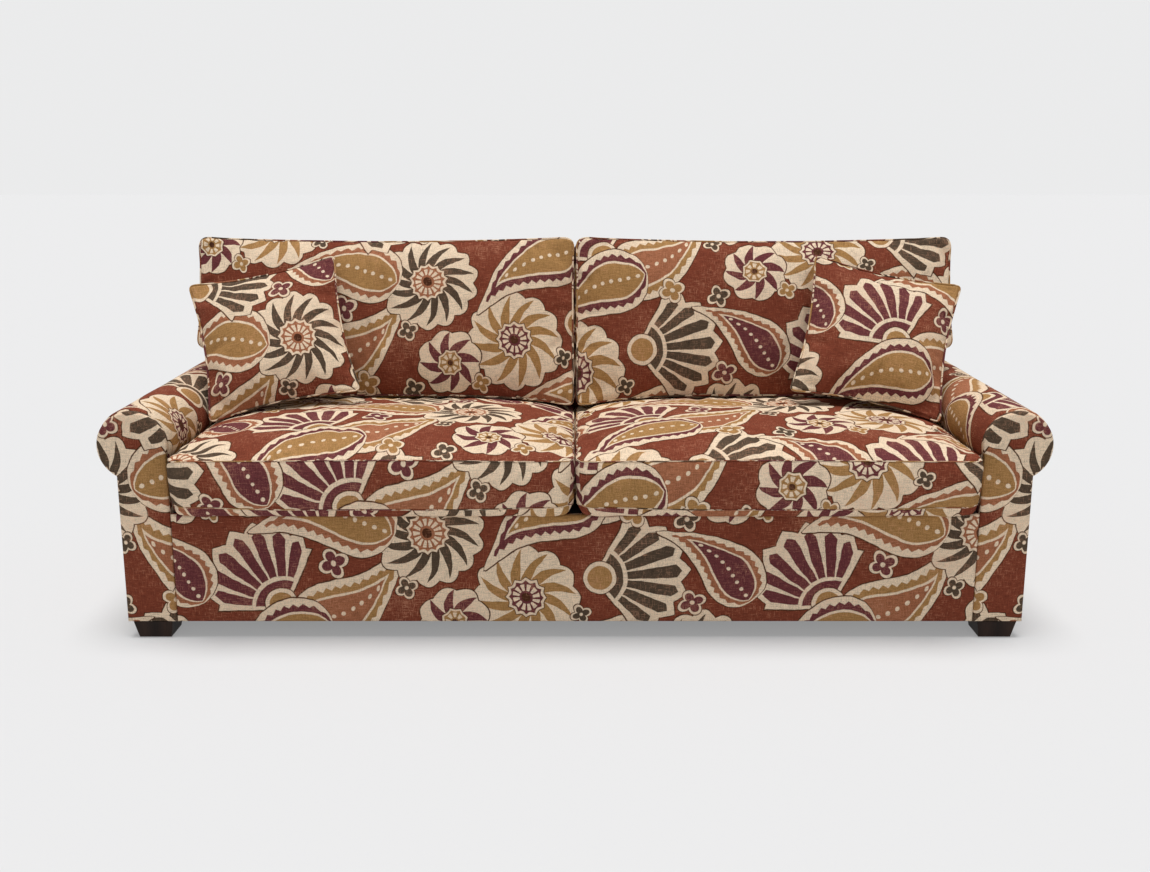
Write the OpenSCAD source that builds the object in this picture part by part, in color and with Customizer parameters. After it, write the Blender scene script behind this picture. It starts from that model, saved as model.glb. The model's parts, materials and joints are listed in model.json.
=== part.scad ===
// Four-seater sofa with scroll arms, two seat cushions, two eared back cushions and two scatter
// cushions. Millimetres, +Z up, the front faces -Y, +X is the right arm as seen from the front.
// The origin is on the floor at the middle of the sofa's width and depth.

/* [Overall] */
// Width across the outside of the two arm rolls
sofa_w = 2400; // [2200:10:2700]
// Depth from the arm fronts to the outside back
frame_d = 920; // [890:5:980]
// Height of the lower edge of the covers above the floor
base_h = 44; // [38:1:80]
// Height of the deck that the seat cushions lie on
deck_h = 330; // [320:1:340]
// Height of the back of the frame
back_h = 880; // [850:5:900]
// Depth of the back at the deck, from its inside face to its outside face
back_d = 260; // [245:5:290]
// Rake of the inside back from upright, in degrees
rake = 16; // [13:0.5:17]

/* [Arms] */
// Radius of the padded arm roll
roll_r = 92; // [88:1:98]
// Height of the middle of the arm roll above the deck
roll_up = 177; // [170:1:190]
// Width of the arm below its roll
arm_w = 127; // [118:1:136]
// How far the roll stands in past the inside arm
roll_bulge = 8; // [6:1:10]
// How much fuller the roll is than its front facing
facing_step = 4; // [2:0.5:6]
// Thickness of the padded facings and of the front border
facing_t = 18; // [14:1:22]
// Depth of the drawn edge round a facing
facing_edge = 6; // [4:1:8]
// Width of the drawn edge round a facing
facing_rim = 5; // [3:1:8]

/* [Covers and timber] */
// Thickness of the padded inside panels
panel_t = 14; // [10:1:18]
// Thickness of the cover over the outside back
shell_t = 8; // [5:1:10]
// How far the back stands out over each arm
wing_w = 54; // [44:1:64]
// Thickness of the solid timber rails
rail_t = 28; // [24:1:32]
// Thickness of the scroll boards and the wing boards
board_t = 22; // [18:1:26]
// Height of the seat rails
seat_rail_h = 120; // [100:5:140]
// Height of the cross rails under the springs
cross_rail_h = 60; // [45:5:75]
// Height of the tuck rail behind the seat
tuck_rail_h = 50; // [40:5:60]
// Height of the top rail of the back
top_rail_h = 46; // [38:1:54]
// Height of the rails along the bottom of the arms and the back
bottom_rail_h = 82; // [70:1:95]
// Width of the rails along the bottom of the arms
bottom_rail_w = 45; // [38:1:52]
// Width of the rail inside the arm roll
arm_rail_w = 44; // [36:1:52]
// Height of the rail inside the arm roll
arm_rail_h = 60; // [50:1:70]
// Thickness of the padded cap on top of the back
cap_t = 14; // [12:1:18]
// Distance of the cross rails and back stiles from the middle
stile_x = 341; // [300:5:360]
// Space between the arm roll and the wing of the back above it
wing_gap = 6; // [4:1:12]
// Height of the tuck rail above the deck
tuck_up = 15; // [10:1:25]

/* [Suspension] */
// Number of serpentine seat springs
spring_count = 11; // [9:1:12]
// Distance from the outermost springs to the side rails
spring_side = 91; // [70:1:110]
// Width of a serpentine spring
spring_w = 50; // [44:1:56]
// Number of bars in a serpentine spring
spring_bars = 15; // [13:2:17]
// Thickness of the spring wire
wire_t = 4; // [3:0.2:4.4]
// Width of a spring clip
clip_w = 26; // [22:1:30]
// Height of a spring clip
clip_h = 11; // [9:1:13]
// Number of elastic belts behind the inside back
belt_count = 10; // [8:1:11]
// Distance from the outermost belts to the inside arms
belt_side = 99; // [80:1:120]
// Width of an elastic belt
belt_w = 50; // [40:1:60]
// Thickness of an elastic belt
belt_t = 2; // [1.5:0.25:3]
// Distance of a belt's ends from the edges of the inside back
belt_end = 5; // [3:1:10]

/* [Feet] */
// Width of a foot at its top
foot_top = 100; // [90:1:105]
// How much the foot narrows on its outer side
foot_out = 13; // [8:1:18]
// How much the foot narrows on its inner side
foot_in = 5; // [2:1:8]
// How much the foot narrows on the side away from the corner of the sofa
foot_back = 15; // [10:1:20]
// Setback of the foot from the front or back of the frame
foot_set = 2; // [1:1:6]
// Thickness of the felt glide under a foot
glide_t = 3; // [2:0.5:4]
// Radius of the felt glide
glide_r = 16; // [12:1:20]
// Radius of the foot bolt
bolt_r = 5; // [4:0.5:6]
// Length of the bolt inside the foot
bolt_down = 24; // [18:1:28]
// Length of the bolt inside the corner block
bolt_up = 40; // [30:1:44]
// Size of a corner block along the arm
block_l = 90; // [80:1:110]
// Height of a corner block
block_h = 60; // [50:1:75]

/* [Seat cushions] */
// How far the seat cushions stand out past the arm fronts
overhang = 60; // [45:1:75]
// Height from the deck to the upper seam
seat_seam = 152; // [144:1:158]
// Height from the deck to the lower seam
seat_low = 32; // [24:1:38]
// Crown of a seat cushion above its upper seam
seat_crown = 56; // [48:1:62]
// Outward swell of the front boxing
seat_swell = 6; // [3:1:9]
// Radius of the corners of a seat cushion
seat_corner = 34; // [26:1:42]
// How far the front edge is drawn in between its corners
seat_draw = 9; // [5:1:14]
// Gap between the seat cushion and the arm roll
side_gap = 2; // [1:0.5:4]
// Gap between two neighbouring cushions
mid_gap = 1.2; // [0.8:0.2:3]
// Gap between the seat and the inside back
rear_gap = 2; // [1:0.5:4]
// Thickness of the soft wrap round the foam core at the sides
seat_wrap = 40; // [30:1:50]
// Thickness of the soft wrap under the foam core
wrap_low = 18; // [12:1:24]
// Depth of the top of the foam core below the upper seam
wrap_high = 12; // [8:1:20]

/* [Back cushions] */
// Height of a back cushion along its rake
back_cush_h = 471; // [450:1:490]
// Thickness of a back cushion at its seams
back_box = 165; // [155:1:175]
// Crown of a back cushion in front of its seam
back_crown = 48; // [38:1:54]
// How far the ear stands out over the arm
ear_w = 88; // [75:1:92]
// Height from the cushion's lower edge to its ear
ear_up = 140; // [134:1:160]
// Radius of the corners of a back cushion
back_corner = 30; // [22:1:38]
// How far the top edge is drawn in between its corners
back_draw = 15; // [8:1:20]
// Depth of the soft edge at the back of the cushion
back_round = 22; // [14:1:30]
// Gap between the crown of the seat and the back cushion
crown_gap = 1; // [0.5:0.1:3]
// Thickness of the wrap round the fibre core at its edges
back_wrap = 45; // [35:1:55]
// Thickness of the wrap behind and in front of the fibre core
face_wrap = 20; // [14:1:28]

/* [Scatter cushions] */
// Width and height of a scatter cushion
scatter_w = 420; // [390:5:440]
// Thickness of a scatter cushion
scatter_t = 124; // [100:2:130]
// How far the edges are drawn in between the corners
scatter_draw = 20; // [12:1:26]
// Thickness of the knife edge
scatter_edge = 6; // [4:1:8]
// Backward lean, in degrees
scatter_lean = 30; // [24:1:33]
// Turn of the cushion on its lower outer corner, in degrees
scatter_turn = 13; // [8:1:16]
// Distance from the middle of the cushion to the inner face of the arm
scatter_in = 179; // [170:1:230]
// Distance from the inside back, at the deck, to the middle of the cushion
scatter_back = 205; // [198:1:230]
// Height that the scatter cushion keeps above the seat's crown
scatter_rest = 0.4; // [0.2:0.1:2]
// Width and height of the feather pad's dense middle
pad_w = 286; // [250:2:300]
// Thickness of the feather pad's dense middle
pad_t = 47; // [36:1:52]

/* [Hidden] */
$fn = 64;

fabric = [0.55, 0.28, 0.18];
timber = [0.79, 0.66, 0.46];
foam = [0.90, 0.87, 0.76];

// Clearance between round or soft faces that meet
fit_gap = 0.3;
// Clearance of a bolt in its bore
bore_gap = 0.2;
// Thickness of the black lining under the frame
lining_t = 1.5;

front_y = -(frame_d - overhang) / 2;
back_y = front_y + frame_d;
deck_y = back_y - back_d;
roll_x = sofa_w / 2 - roll_r;
roll_z = deck_h + roll_up;
in_x = roll_x - roll_r + roll_bulge;
out_x = in_x + arm_w;
facing_r = roll_r - facing_step;
board_in = panel_t * 4 / 7;
rail_top = deck_h - panel_t;
wing_x = in_x + wing_w;
wing_z = roll_z + roll_r + wing_gap;
cap_z = back_h - cap_t;
post_top = cap_z - top_rail_h;
tuck_z = deck_h + tuck_up;
lay = panel_t + belt_t;
board_y = front_y + facing_t;
seat_rear = deck_y - rear_gap;

// Height above the floor, and place in depth, of a plane that lies d behind the inside back
function rake_y(z, d = 0) = deck_y + (z - deck_h) * tan(rake) + d / cos(rake);

// Extrudes a profile drawn in depth and height from x0 to x1
module yz(x0, x1) {
  translate([x0, 0, 0]) rotate([90, 0, 90]) linear_extrude(x1 - x0) children();
}

// Extrudes a profile drawn in width and height from y0 to y1
module xz(y0, y1) {
  translate([0, y1, 0]) rotate([90, 0, 0]) linear_extrude(y1 - y0) children();
}

// A box from its lowest to its highest corner
module span(a, b) {
  translate(a) cube(b - a);
}

// The right-hand piece, or its mirror image on the left
module side(s) {
  if (s > 0) children();
  else mirror([1, 0, 0]) children();
}

module both() {
  side(1) children();
  side(-1) children();
}

// A board whose front edge follows the rake, from z0 up to z1, ending at depth y1
module raked(x0, x1, z0, z1, d, y1) {
  yz(x0, x1) polygon([[rake_y(z0, d), z0], [y1, z0], [y1, z1], [rake_y(z1, d), z1]]);
}

// A layer parallel to the inside back, between d0 and d1 behind its face
module layer(x0, x1, z0, z1, d0, d1) {
  yz(x0, x1) polygon([
    [rake_y(z0, d0), z0], [rake_y(z0, d1), z0], [rake_y(z1, d1), z1], [rake_y(z1, d0), z1]
  ]);
}

// Outline of the scroll arm's front, drawn in by d
module scroll(d) {
  translate([roll_x, roll_z]) circle(r = facing_r - d, $fn = 96);
  translate([in_x + d, base_h]) square([arm_w - 2 * d, roll_z - base_h]);
}

// Space of the two scroll boards of an arm, grown by g
module scroll_boards(g) {
  for (y = [board_y, back_y - facing_t - board_t])
    xz(y - g, y + board_t + g) scroll(board_in - g);
}

// Profile of a back post, its front edge grown by g
module post_profile(g) {
  polygon([
    [seat_rear - g, base_h], [seat_rear - g, rail_top], [rake_y(rail_top, lay) - g, rail_top],
    [rake_y(post_top, lay) - g, post_top], [back_y - facing_t, post_top], [back_y - facing_t, base_h]
  ]);
}

// Timber frame

module front_rail() {
  color(timber)
  span([-in_x - board_in, board_y, rail_top - 2 * seat_rail_h],
       [in_x + board_in, board_y + rail_t, rail_top]);
}

module back_seat_rail() {
  color(timber)
  span([-in_x, seat_rear - rail_t, rail_top - seat_rail_h], [in_x, seat_rear, rail_top]);
}

module seat_side_rails() {
  color(timber) both()
  span([in_x - rail_t, board_y + rail_t, rail_top - seat_rail_h],
       [in_x, seat_rear - rail_t, rail_top]);
}

module seat_cross_rails() {
  color(timber) both()
  span([stile_x - rail_t / 2, board_y + rail_t, rail_top - seat_rail_h],
       [stile_x + rail_t / 2, seat_rear - rail_t, rail_top - seat_rail_h + cross_rail_h]);
}

module back_bottom_rail() {
  color(timber)
  span([-in_x + rail_t, back_y - shell_t - rail_t, base_h],
       [in_x - rail_t, back_y - shell_t, base_h + bottom_rail_h]);
}

module arm_bottom_rail(s) {
  color(timber) side(s)
  span([in_x, board_y + rail_t, base_h],
       [in_x + bottom_rail_w, back_y - facing_t - board_t, base_h + bottom_rail_h]);
}

module arm_scroll_boards(s) {
  color(timber) side(s) scroll_boards(0);
}

module arm_top_rail(s) {
  color(timber) side(s)
  span([roll_x - arm_rail_w / 2, board_y + board_t, roll_z - arm_rail_h / 2],
       [roll_x + arm_rail_w / 2, back_y - facing_t - board_t, roll_z + arm_rail_h / 2]);
}

module back_post(s) {
  color(timber) side(s)
  yz(in_x - rail_t, in_x) post_profile(0);
}

module back_stiles() {
  color(timber) both()
  raked(stile_x - rail_t / 2, stile_x + rail_t / 2, tuck_z + tuck_rail_h, post_top, lay,
        back_y - shell_t);
}

module back_top_rail() {
  color(timber)
  raked(-wing_x, wing_x, post_top, cap_z, lay, back_y - shell_t);
}

module back_tuck_rail() {
  color(timber)
  layer(-in_x + rail_t, in_x - rail_t, tuck_z, tuck_z + tuck_rail_h, lay, lay + rail_t);
}

module back_wing(s) {
  color(timber) side(s) {
    raked(wing_x - board_t, wing_x, wing_z, post_top, lay, back_y - shell_t);
    raked(in_x, wing_x - board_t, wing_z, wing_z + board_t, lay, back_y - shell_t);
  }
}

// Middle of the foot and its bolt, on the right at the front
foot_x = in_x + arm_w / 2 - 1;
foot_y = front_y + foot_set + foot_top / 2;

// Repeats a right front piece at the four corners
module corners() {
  both() children();
  both() translate([0, front_y + back_y, 0]) mirror([0, 1, 0]) children();
}

module corner_blocks() {
  color(timber) corners() difference() {
    span([in_x + bottom_rail_w, board_y + board_t, base_h],
         [out_x - panel_t, board_y + board_t + block_l, base_h + block_h]);
    translate([foot_x, foot_y, base_h - 1]) cylinder(r = bolt_r + bore_gap, h = bolt_up + 1.5);
  }
}

// Serpentine springs and their clips

spring_y0 = board_y + rail_t + clip_h / 2;
spring_y1 = seat_rear - rail_t - clip_h / 2;
wire_z = rail_top - fit_gap - wire_t;
bend = 2 * wire_t;
spring_pitch = 2 * (in_x - rail_t - spring_side - spring_w / 2) / (spring_count - 1);
belt_pitch = 2 * (in_x - belt_side - belt_w / 2) / (belt_count - 1);

// Corner of the serpentine path with its two chamfer points
function bend_points(x, y, turn, up) =
  up ? [[x - turn * bend, y], [x, y + bend]] : [[x, y - bend], [x - turn * bend, y]];

function spring_path() =
  let (step = (spring_y1 - spring_y0) / (spring_bars - 1), a = spring_w / 2 - wire_t / 2)
  [
    [-a, spring_y0],
    for (i = [0 : spring_bars - 2])
      let (turn = i % 2 == 0 ? 1 : -1)
      for (p = concat(bend_points(turn * a, spring_y0 + i * step, turn, true),
                      bend_points(turn * a, spring_y0 + (i + 1) * step, turn, false)))
        p,
    [(spring_bars % 2 == 0 ? -1 : 1) * a, spring_y1]
  ];

function unit(v) = v / norm(v);
function left(v) = [-v[1], v[0]];

// Point of the mitred outline of a path of width t, on the side that t's sign picks
function mitre(p, i, t) =
  let (
    a = i == 0 ? unit(p[1] - p[0]) : unit(p[i] - p[i - 1]),
    b = i == len(p) - 1 ? a : unit(p[i + 1] - p[i]),
    m = unit(left(a) + left(b))
  )
  p[i] + m * t / (m * left(a));

function ribbon(p, t) = concat(
  [for (i = [0 : len(p) - 1]) mitre(p, i, -t / 2)],
  [for (i = [len(p) - 1 : -1 : 0]) mitre(p, i, t / 2)]
);

module spring_row() {
  for (i = [0 : spring_count - 1])
    translate([(i - (spring_count - 1) / 2) * spring_pitch, 0, 0]) children();
}

module seat_springs() {
  color("silver") spring_row()
  translate([0, 0, wire_z]) linear_extrude(wire_t) polygon(ribbon(spring_path(), wire_t));
}

module spring_clips() {
  slot = wire_t + 2 * bore_gap;
  color("gray") spring_row()
  for (y = [spring_y0, spring_y1]) difference() {
    span([-clip_w / 2, y - clip_h / 2, rail_top - fit_gap - clip_h],
         [clip_w / 2, y + clip_h / 2, rail_top - fit_gap]);
    span([-clip_w / 2 - 1, y - slot / 2, wire_z - bore_gap],
         [clip_w / 2 + 1, y + slot / 2, wire_z + wire_t + 1]);
  }
}

module back_webbing() {
  color("black")
  for (i = [0 : belt_count - 1]) {
    x = (i - (belt_count - 1) / 2) * belt_pitch;
    layer(x - belt_w / 2, x + belt_w / 2, tuck_z + belt_end, cap_z - belt_end, panel_t, lay);
  }
}

// Covers on the frame

module seat_platform() {
  color("black")
  span([-in_x + fit_gap, board_y, rail_top], [in_x - fit_gap, deck_y, deck_h]);
}

module front_border() {
  color(fabric)
  span([-in_x + fit_gap, front_y, base_h], [in_x - fit_gap, board_y, deck_h]);
}

module inside_back() {
  low_x = in_x - roll_bulge - fit_gap;
  color(fabric) {
    layer(-low_x, low_x, deck_h, wing_z, 0, panel_t);
    layer(-wing_x, wing_x, wing_z, cap_z, 0, panel_t);
  }
}

module outside_back() {
  low_x = in_x - roll_bulge + facing_step - fit_gap;
  color(fabric) {
    span([-low_x, back_y - shell_t, base_h], [low_x, back_y, wing_z]);
    span([-wing_x, back_y - shell_t, wing_z], [wing_x, back_y, cap_z]);
  }
}

module back_side(s) {
  color(fabric) side(s)
  raked(wing_x, wing_x + shell_t, wing_z, cap_z, 0, back_y);
}

module back_cap() {
  y0 = rake_y(back_h);
  r = cap_t * 0.8;
  color(fabric)
  yz(-wing_x - shell_t, wing_x + shell_t) intersection() {
    translate([y0, cap_z]) square([back_y - y0, cap_t]);
    union() {
      translate([y0, cap_z]) square([back_y - y0, cap_t - r]);
      translate([y0 + r, cap_z]) square([back_y - y0 - 2 * r, cap_t]);
      for (y = [y0 + r, back_y - r]) translate([y, back_h - r]) circle(r = r);
    }
  }
}

module inside_arm(s) {
  color(fabric) side(s) difference() {
    span([in_x, board_y, rail_top], [in_x + panel_t, back_y - facing_t, roll_z]);
    arm_cylinder(roll_r + fit_gap);
    scroll_boards(fit_gap);
  }
}

module outside_arm(s) {
  color(fabric) side(s) difference() {
    span([out_x - panel_t, board_y, base_h], [out_x, back_y - facing_t, roll_z]);
    arm_cylinder(roll_r + fit_gap);
    scroll_boards(fit_gap);
  }
}

module arm_cylinder(r) {
  translate([roll_x, back_y - facing_t, roll_z]) rotate([90, 0, 0])
    cylinder(r = r, h = frame_d - 2 * facing_t, $fn = 96);
}

module arm_roll(s) {
  color(fabric) side(s) difference() {
    arm_cylinder(roll_r);
    scroll_boards(fit_gap);
    span([roll_x - arm_rail_w / 2 - fit_gap, board_y, roll_z - arm_rail_h / 2 - fit_gap],
         [roll_x + arm_rail_w / 2 + fit_gap, back_y - facing_t - 1, roll_z + arm_rail_h / 2 + fit_gap]);
    yz(in_x - rail_t, in_x + fit_gap) post_profile(fit_gap);
  }
}

// A facing with its drawn edge, the face towards -Y at y0
module facing(y0) {
  xz(y0, y0 + facing_edge) scroll(facing_rim);
  xz(y0 + facing_edge, y0 + facing_t) scroll(0);
}

module arm_facing(s) {
  color(fabric) side(s) facing(front_y);
}

module arm_back_facing(s) {
  color(fabric) side(s)
  translate([0, front_y + back_y, 0]) mirror([0, 1, 0]) facing(front_y);
}

// Lining under the frame, cut out at the four feet
module dust_cover() {
  edge = 6;
  foot_x0 = foot_x - foot_top / 2 - edge;
  foot_y1 = foot_y + foot_top / 2 + edge;
  color("black") {
    span([-foot_x0, board_y + edge, base_h - lining_t], [foot_x0, back_y - shell_t - edge, base_h]);
    both()
    span([foot_x0, foot_y1, base_h - lining_t], [out_x - edge, front_y + back_y - foot_y1, base_h]);
  }
}

// Feet

module foot_block() {
  x0 = foot_x - foot_top / 2;
  x1 = foot_x + foot_top / 2;
  y0 = foot_y - foot_top / 2;
  y1 = foot_y + foot_top / 2;
  difference() {
    intersection() {
      xz(y0 - 1, y1 + 1) polygon([
        [x0, base_h], [x1, base_h], [x1 - foot_out, glide_t], [x0 + foot_in, glide_t]
      ]);
      yz(x0 - 1, x1 + 1) polygon([
        [y0, base_h], [y1, base_h], [y1 - foot_back, glide_t], [y0, glide_t]
      ]);
    }
    translate([foot_x, foot_y, base_h - bolt_down - 1])
      cylinder(r = bolt_r + bore_gap, h = bolt_down + 2);
  }
}

module foot(s, rear) {
  color([0.13, 0.08, 0.06]) side(s)
  if (rear) translate([0, front_y + back_y, 0]) mirror([0, 1, 0]) foot_block();
  else foot_block();
}

module foot_bolts() {
  color("silver") corners()
  translate([foot_x, foot_y, base_h - bolt_down]) cylinder(r = bolt_r, h = bolt_down + bolt_up);
}

module foot_glides() {
  color([0.35, 0.32, 0.30]) corners()
  translate([foot_x - (foot_out - foot_in) / 2, foot_y - foot_back / 2, 0])
    cylinder(r = glide_r, h = glide_t);
}

// Cushion forms. An outline is a loop of points, and a cushion is a stack of rings of that outline.

// Points of a rounded corner about c, from angle a0 to a1
function arc(c, r, a0, a1, n = 3) =
  [for (i = [0 : n]) c + r * [cos(a0 + (a1 - a0) * i / n), sin(a0 + (a1 - a0) * i / n)]];

// Points between p and q, drawn in to the left of the run by as much as draw at the middle
function edge(p, q, n, draw = 0) =
  [for (i = [1 : n - 1]) p + (q - p) * i / n + left(unit(q - p)) * draw * sin(180 * i / n)];

// Loop of a rectangle with round corners, the four sides drawn in by draw
function box_loop(x0, x1, y0, y1, r, nx, ny, draw) = concat(
  edge([x0 + r, y0], [x1 - r, y0], nx, draw[0]), arc([x1 - r, y0 + r], r, -90, 0),
  edge([x1, y0 + r], [x1, y1 - r], ny, draw[1]), arc([x1 - r, y1 - r], r, 0, 90),
  edge([x1 - r, y1], [x0 + r, y1], nx, draw[2]), arc([x0 + r, y1 - r], r, 90, 180),
  edge([x0, y1 - r], [x0, y0 + r], ny, draw[3]), arc([x0 + r, y0 + r], r, 180, 270)
);

// Loop of a back cushion: its body stands between the arms and its ear over one of them
function eared_loop(x0, x1, x2, z0, z1, z2, r, draw) = let (nick = r / 5, c = r * 3 / 5) concat(
  edge([x0 + c, z0], [x1 - c, z0], 9), arc([x1 - c, z0 + c], c, -90, 0),
  edge([x1, z0 + c], [x1, z1], 3), [[x1, z1 - nick], [x1 + nick, z1]],
  arc([x2 - r, z1 + r], r, -90, 0),
  edge([x2, z1 + r], [x2, z2 - r], 5, 5), arc([x2 - r, z2 - r], r, 0, 90),
  edge([x2 - r, z2], [x0 + r, z2], 10, draw), arc([x0 + r, z2 - r], r, 90, 180),
  edge([x0, z2 - r], [x0, z0 + c], 7, 3), arc([x0 + c, z0 + c], c, 180, 270)
);

// A ring of the loop scaled about its middle c, at heights that the list h gives
function ring(loop, c, k, h) =
  [for (i = [0 : len(loop) - 1]) let (p = c + (loop[i] - c) * k) [p[0], p[1], h[i]]];

function level(loop, z) = [for (p = loop) z];

// Closed skin over rings that run from the underside to the top, with a point at each end
module skin(rings, low, high) {
  n = len(rings[0]);
  m = len(rings);
  pts = concat([low], [for (r = rings) for (p = r) p], [high]);
  polyhedron(pts, concat(
    [for (i = [0 : n - 1]) [0, 1 + i, 1 + (i + 1) % n]],
    [for (k = [0 : m - 2]) for (i = [0 : n - 1])
      let (a = 1 + k * n + i, b = 1 + k * n + (i + 1) % n) each [[a, a + n, b], [b, a + n, b + n]]],
    [for (i = [0 : n - 1])
      [1 + (m - 1) * n + i, 1 + m * n, 1 + (m - 1) * n + (i + 1) % n]]
  ));
}

// Share of the full crown at u, v, which run from -1 to 1 across the cushion
function dome(u, v) =
  pow((1 - pow(min(1, abs(u)), 3.2)) * (1 - pow(min(1, abs(v)), 3.2)), 0.75);

crown_steps = [0.97, 0.9, 0.8, 0.65, 0.45, 0.22];

// Crown heights over a ring of a loop that fills the box from lo to hi
function crown_list(loop, c, k, lo, hi, z, crown) = [
  for (p = loop)
    let (q = c + (p - c) * k, m = (lo + hi) / 2, s = (hi - lo) / 2)
    z + crown * dome((q[0] - m[0]) / s[0], (q[1] - m[1]) / s[1])
];

// Seat cushions

seat_x0 = mid_gap / 2;
seat_x1 = in_x - roll_bulge - side_gap;
seat_y0 = front_y - overhang + seat_swell;
seat_y1 = seat_rear;
seat_lo = [seat_x0, seat_y0];
seat_hi = [seat_x1, seat_y1];
seat_mid = (seat_lo + seat_hi) / 2;
seat_size = seat_hi - seat_lo;

// Height of the seat's crown at a place in the plan, on the right
function seat_top(x, y) = deck_h + seat_seam + seat_crown
  * dome((x - seat_mid[0]) * 2 / seat_size[0], (y - seat_mid[1]) * 2 / seat_size[1]);

module seat_form() {
  loop = box_loop(seat_x0, seat_x1, seat_y0, seat_y1, seat_corner, 10, 7, [seat_draw, 2, 0, 2]);
  swell = [for (p = loop) let (q = p - seat_mid)
    seat_mid + [q[0], q[1] < 0 ? q[1] * (1 + 2 * seat_swell / seat_size[1]) : q[1]]];
  low = deck_h + fit_gap;
  skin(concat(
    [ring(loop, seat_mid, 0.93, level(loop, low))],
    [ring(loop, seat_mid, 0.99, level(loop, low + seat_low * 0.4))],
    [ring(loop, seat_mid, 1, level(loop, deck_h + seat_low))],
    [ring(swell, seat_mid, 1, level(loop, deck_h + (seat_low + seat_seam) / 2))],
    [ring(loop, seat_mid, 1, level(loop, deck_h + seat_seam))],
    [for (k = crown_steps)
      ring(loop, seat_mid, k,
           crown_list(loop, seat_mid, k, seat_lo, seat_hi, deck_h + seat_seam, seat_crown))]
  ), [seat_mid[0], seat_mid[1], low], [seat_mid[0], seat_mid[1], deck_h + seat_seam + seat_crown]);
}

// Foam core, or with g its pocket
module seat_block(g) {
  a = seat_wrap - g;
  span([seat_x0 + a, seat_y0 + a, deck_h + wrap_low - g],
       [seat_x1 - a, seat_y1 - a, deck_h + seat_seam - wrap_high + g]);
}

module seat_cushion(s) {
  color(fabric) side(s) difference() {
    seat_form();
    seat_block(fit_gap);
  }
}

module seat_core(s) {
  color(foam) side(s) seat_block(0);
}

// Back cushions, drawn upright and then laid on the rake of the inside back

// Lower edge of a back cushion that clears the middle of the seat's crown, d in front of the inside back
function clear_low(d) =
  (seat_top(seat_mid[0], deck_y - d * cos(rake) + seat_seam * tan(rake)) + crown_gap - deck_h
   - d * sin(rake)) / cos(rake);

back_low = max([for (k = [0.5 : 0.1 : 1]) clear_low(back_box * k)]);
back_x1 = seat_x1;
back_x2 = back_x1 + ear_w;
back_lo = [seat_x0, back_low];
back_hi = [back_x2, back_low + back_cush_h];
back_mid = (back_lo + back_hi) / 2;

module on_rake() {
  translate([0, deck_y, deck_h]) rotate([-rake, 0, 0]) children();
}

module back_form() {
  loop = eared_loop(seat_x0, back_x1, back_x2, back_low, back_low + ear_up,
                    back_low + back_cush_h, back_corner, back_draw);
  on_rake() rotate([90, 0, 0])
  skin(concat(
    [ring(loop, back_mid, 0.95, level(loop, fit_gap))],
    [ring(loop, back_mid, 0.985, level(loop, fit_gap + back_round * 0.35))],
    [ring(loop, back_mid, 1, level(loop, back_round))],
    [ring(loop, back_mid, 1, level(loop, back_box))],
    [for (k = crown_steps)
      ring(loop, back_mid, k,
           crown_list(loop, back_mid, k, back_lo, back_hi, back_box, back_crown))]
  ), [back_mid[0], back_mid[1], fit_gap], [back_mid[0], back_mid[1], back_box + back_crown]);
}

// Fibre core, or with g its pocket
module back_block(g) {
  a = back_wrap - g;
  on_rake()
  span([seat_x0 + a, face_wrap - back_box - g, back_low + a],
       [back_x1 - a, g - face_wrap, back_low + back_cush_h - back_draw - a]);
}

module back_cushion(s) {
  color(fabric) side(s) difference() {
    back_form();
    back_block(fit_gap);
  }
}

module back_core(s) {
  color(foam) side(s) back_block(0);
}

// Scatter cushions, each standing on its lower outer corner

scatter_x = in_x - scatter_in;
scatter_y = deck_y - scatter_back;
scatter_r = 14;
scatter_steps = [0.975, 0.91, 0.8, 0.62, 0.38];

function scatter_half(u, v) = (scatter_t - scatter_edge) / 2
  * pow((1 - pow(min(1, abs(u)), 2.2)) * (1 - pow(min(1, abs(v)), 2.2)), 0.62);

function scatter_loop() =
  let (h = scatter_w / 2)
  box_loop(-h, h, -h, h, scatter_r, 6, 6, [for (i = [0 : 3]) scatter_draw]);

function scatter_ring(loop, k, s) = [
  for (p = loop)
    let (q = p * k)
    [q[0], q[1], s * (scatter_edge / 2 + scatter_half(q[0] * 2 / scatter_w, q[1] * 2 / scatter_w))]
];

function scatter_rings() =
  let (loop = scatter_loop(), n = len(scatter_steps))
  concat(
    [for (i = [n - 1 : -1 : 0]) scatter_ring(loop, scatter_steps[i], -1)],
    [ring(loop, [0, 0], 1, level(loop, -scatter_edge / 2))],
    [ring(loop, [0, 0], 1, level(loop, scatter_edge / 2))],
    [for (k = scatter_steps) scatter_ring(loop, k, 1)]
  );

// Where a point of the lying form goes once it is stood up, turned and leaned, before it is lifted
function stood(p) =
  let (
    x = p[0] * cos(scatter_turn) + p[1] * sin(scatter_turn),
    z = p[1] * cos(scatter_turn) - p[0] * sin(scatter_turn)
  )
  [
    x + scatter_x,
    -p[2] * cos(scatter_lean) + z * sin(scatter_lean) + scatter_y,
    p[2] * sin(scatter_lean) + z * cos(scatter_lean)
  ];

// Lift that stands the lowest corner on the crown of the seat
scatter_z = scatter_rest + max([
  for (r = scatter_rings()) for (p = r) let (q = stood(p)) seat_top(q[0], q[1]) - q[2]
]);

module stand_up() {
  translate([scatter_x, scatter_y, scatter_z])
    rotate([-scatter_lean, 0, 0]) rotate([0, scatter_turn, 0]) rotate([90, 0, 0]) children();
}

// Feather pad, or with g its pocket
module pad_block(g) {
  a = pad_w / 2 + g;
  c = pad_t / 2 + g;
  stand_up() span([-a, -a, -c], [a, a, c]);
}

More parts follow.
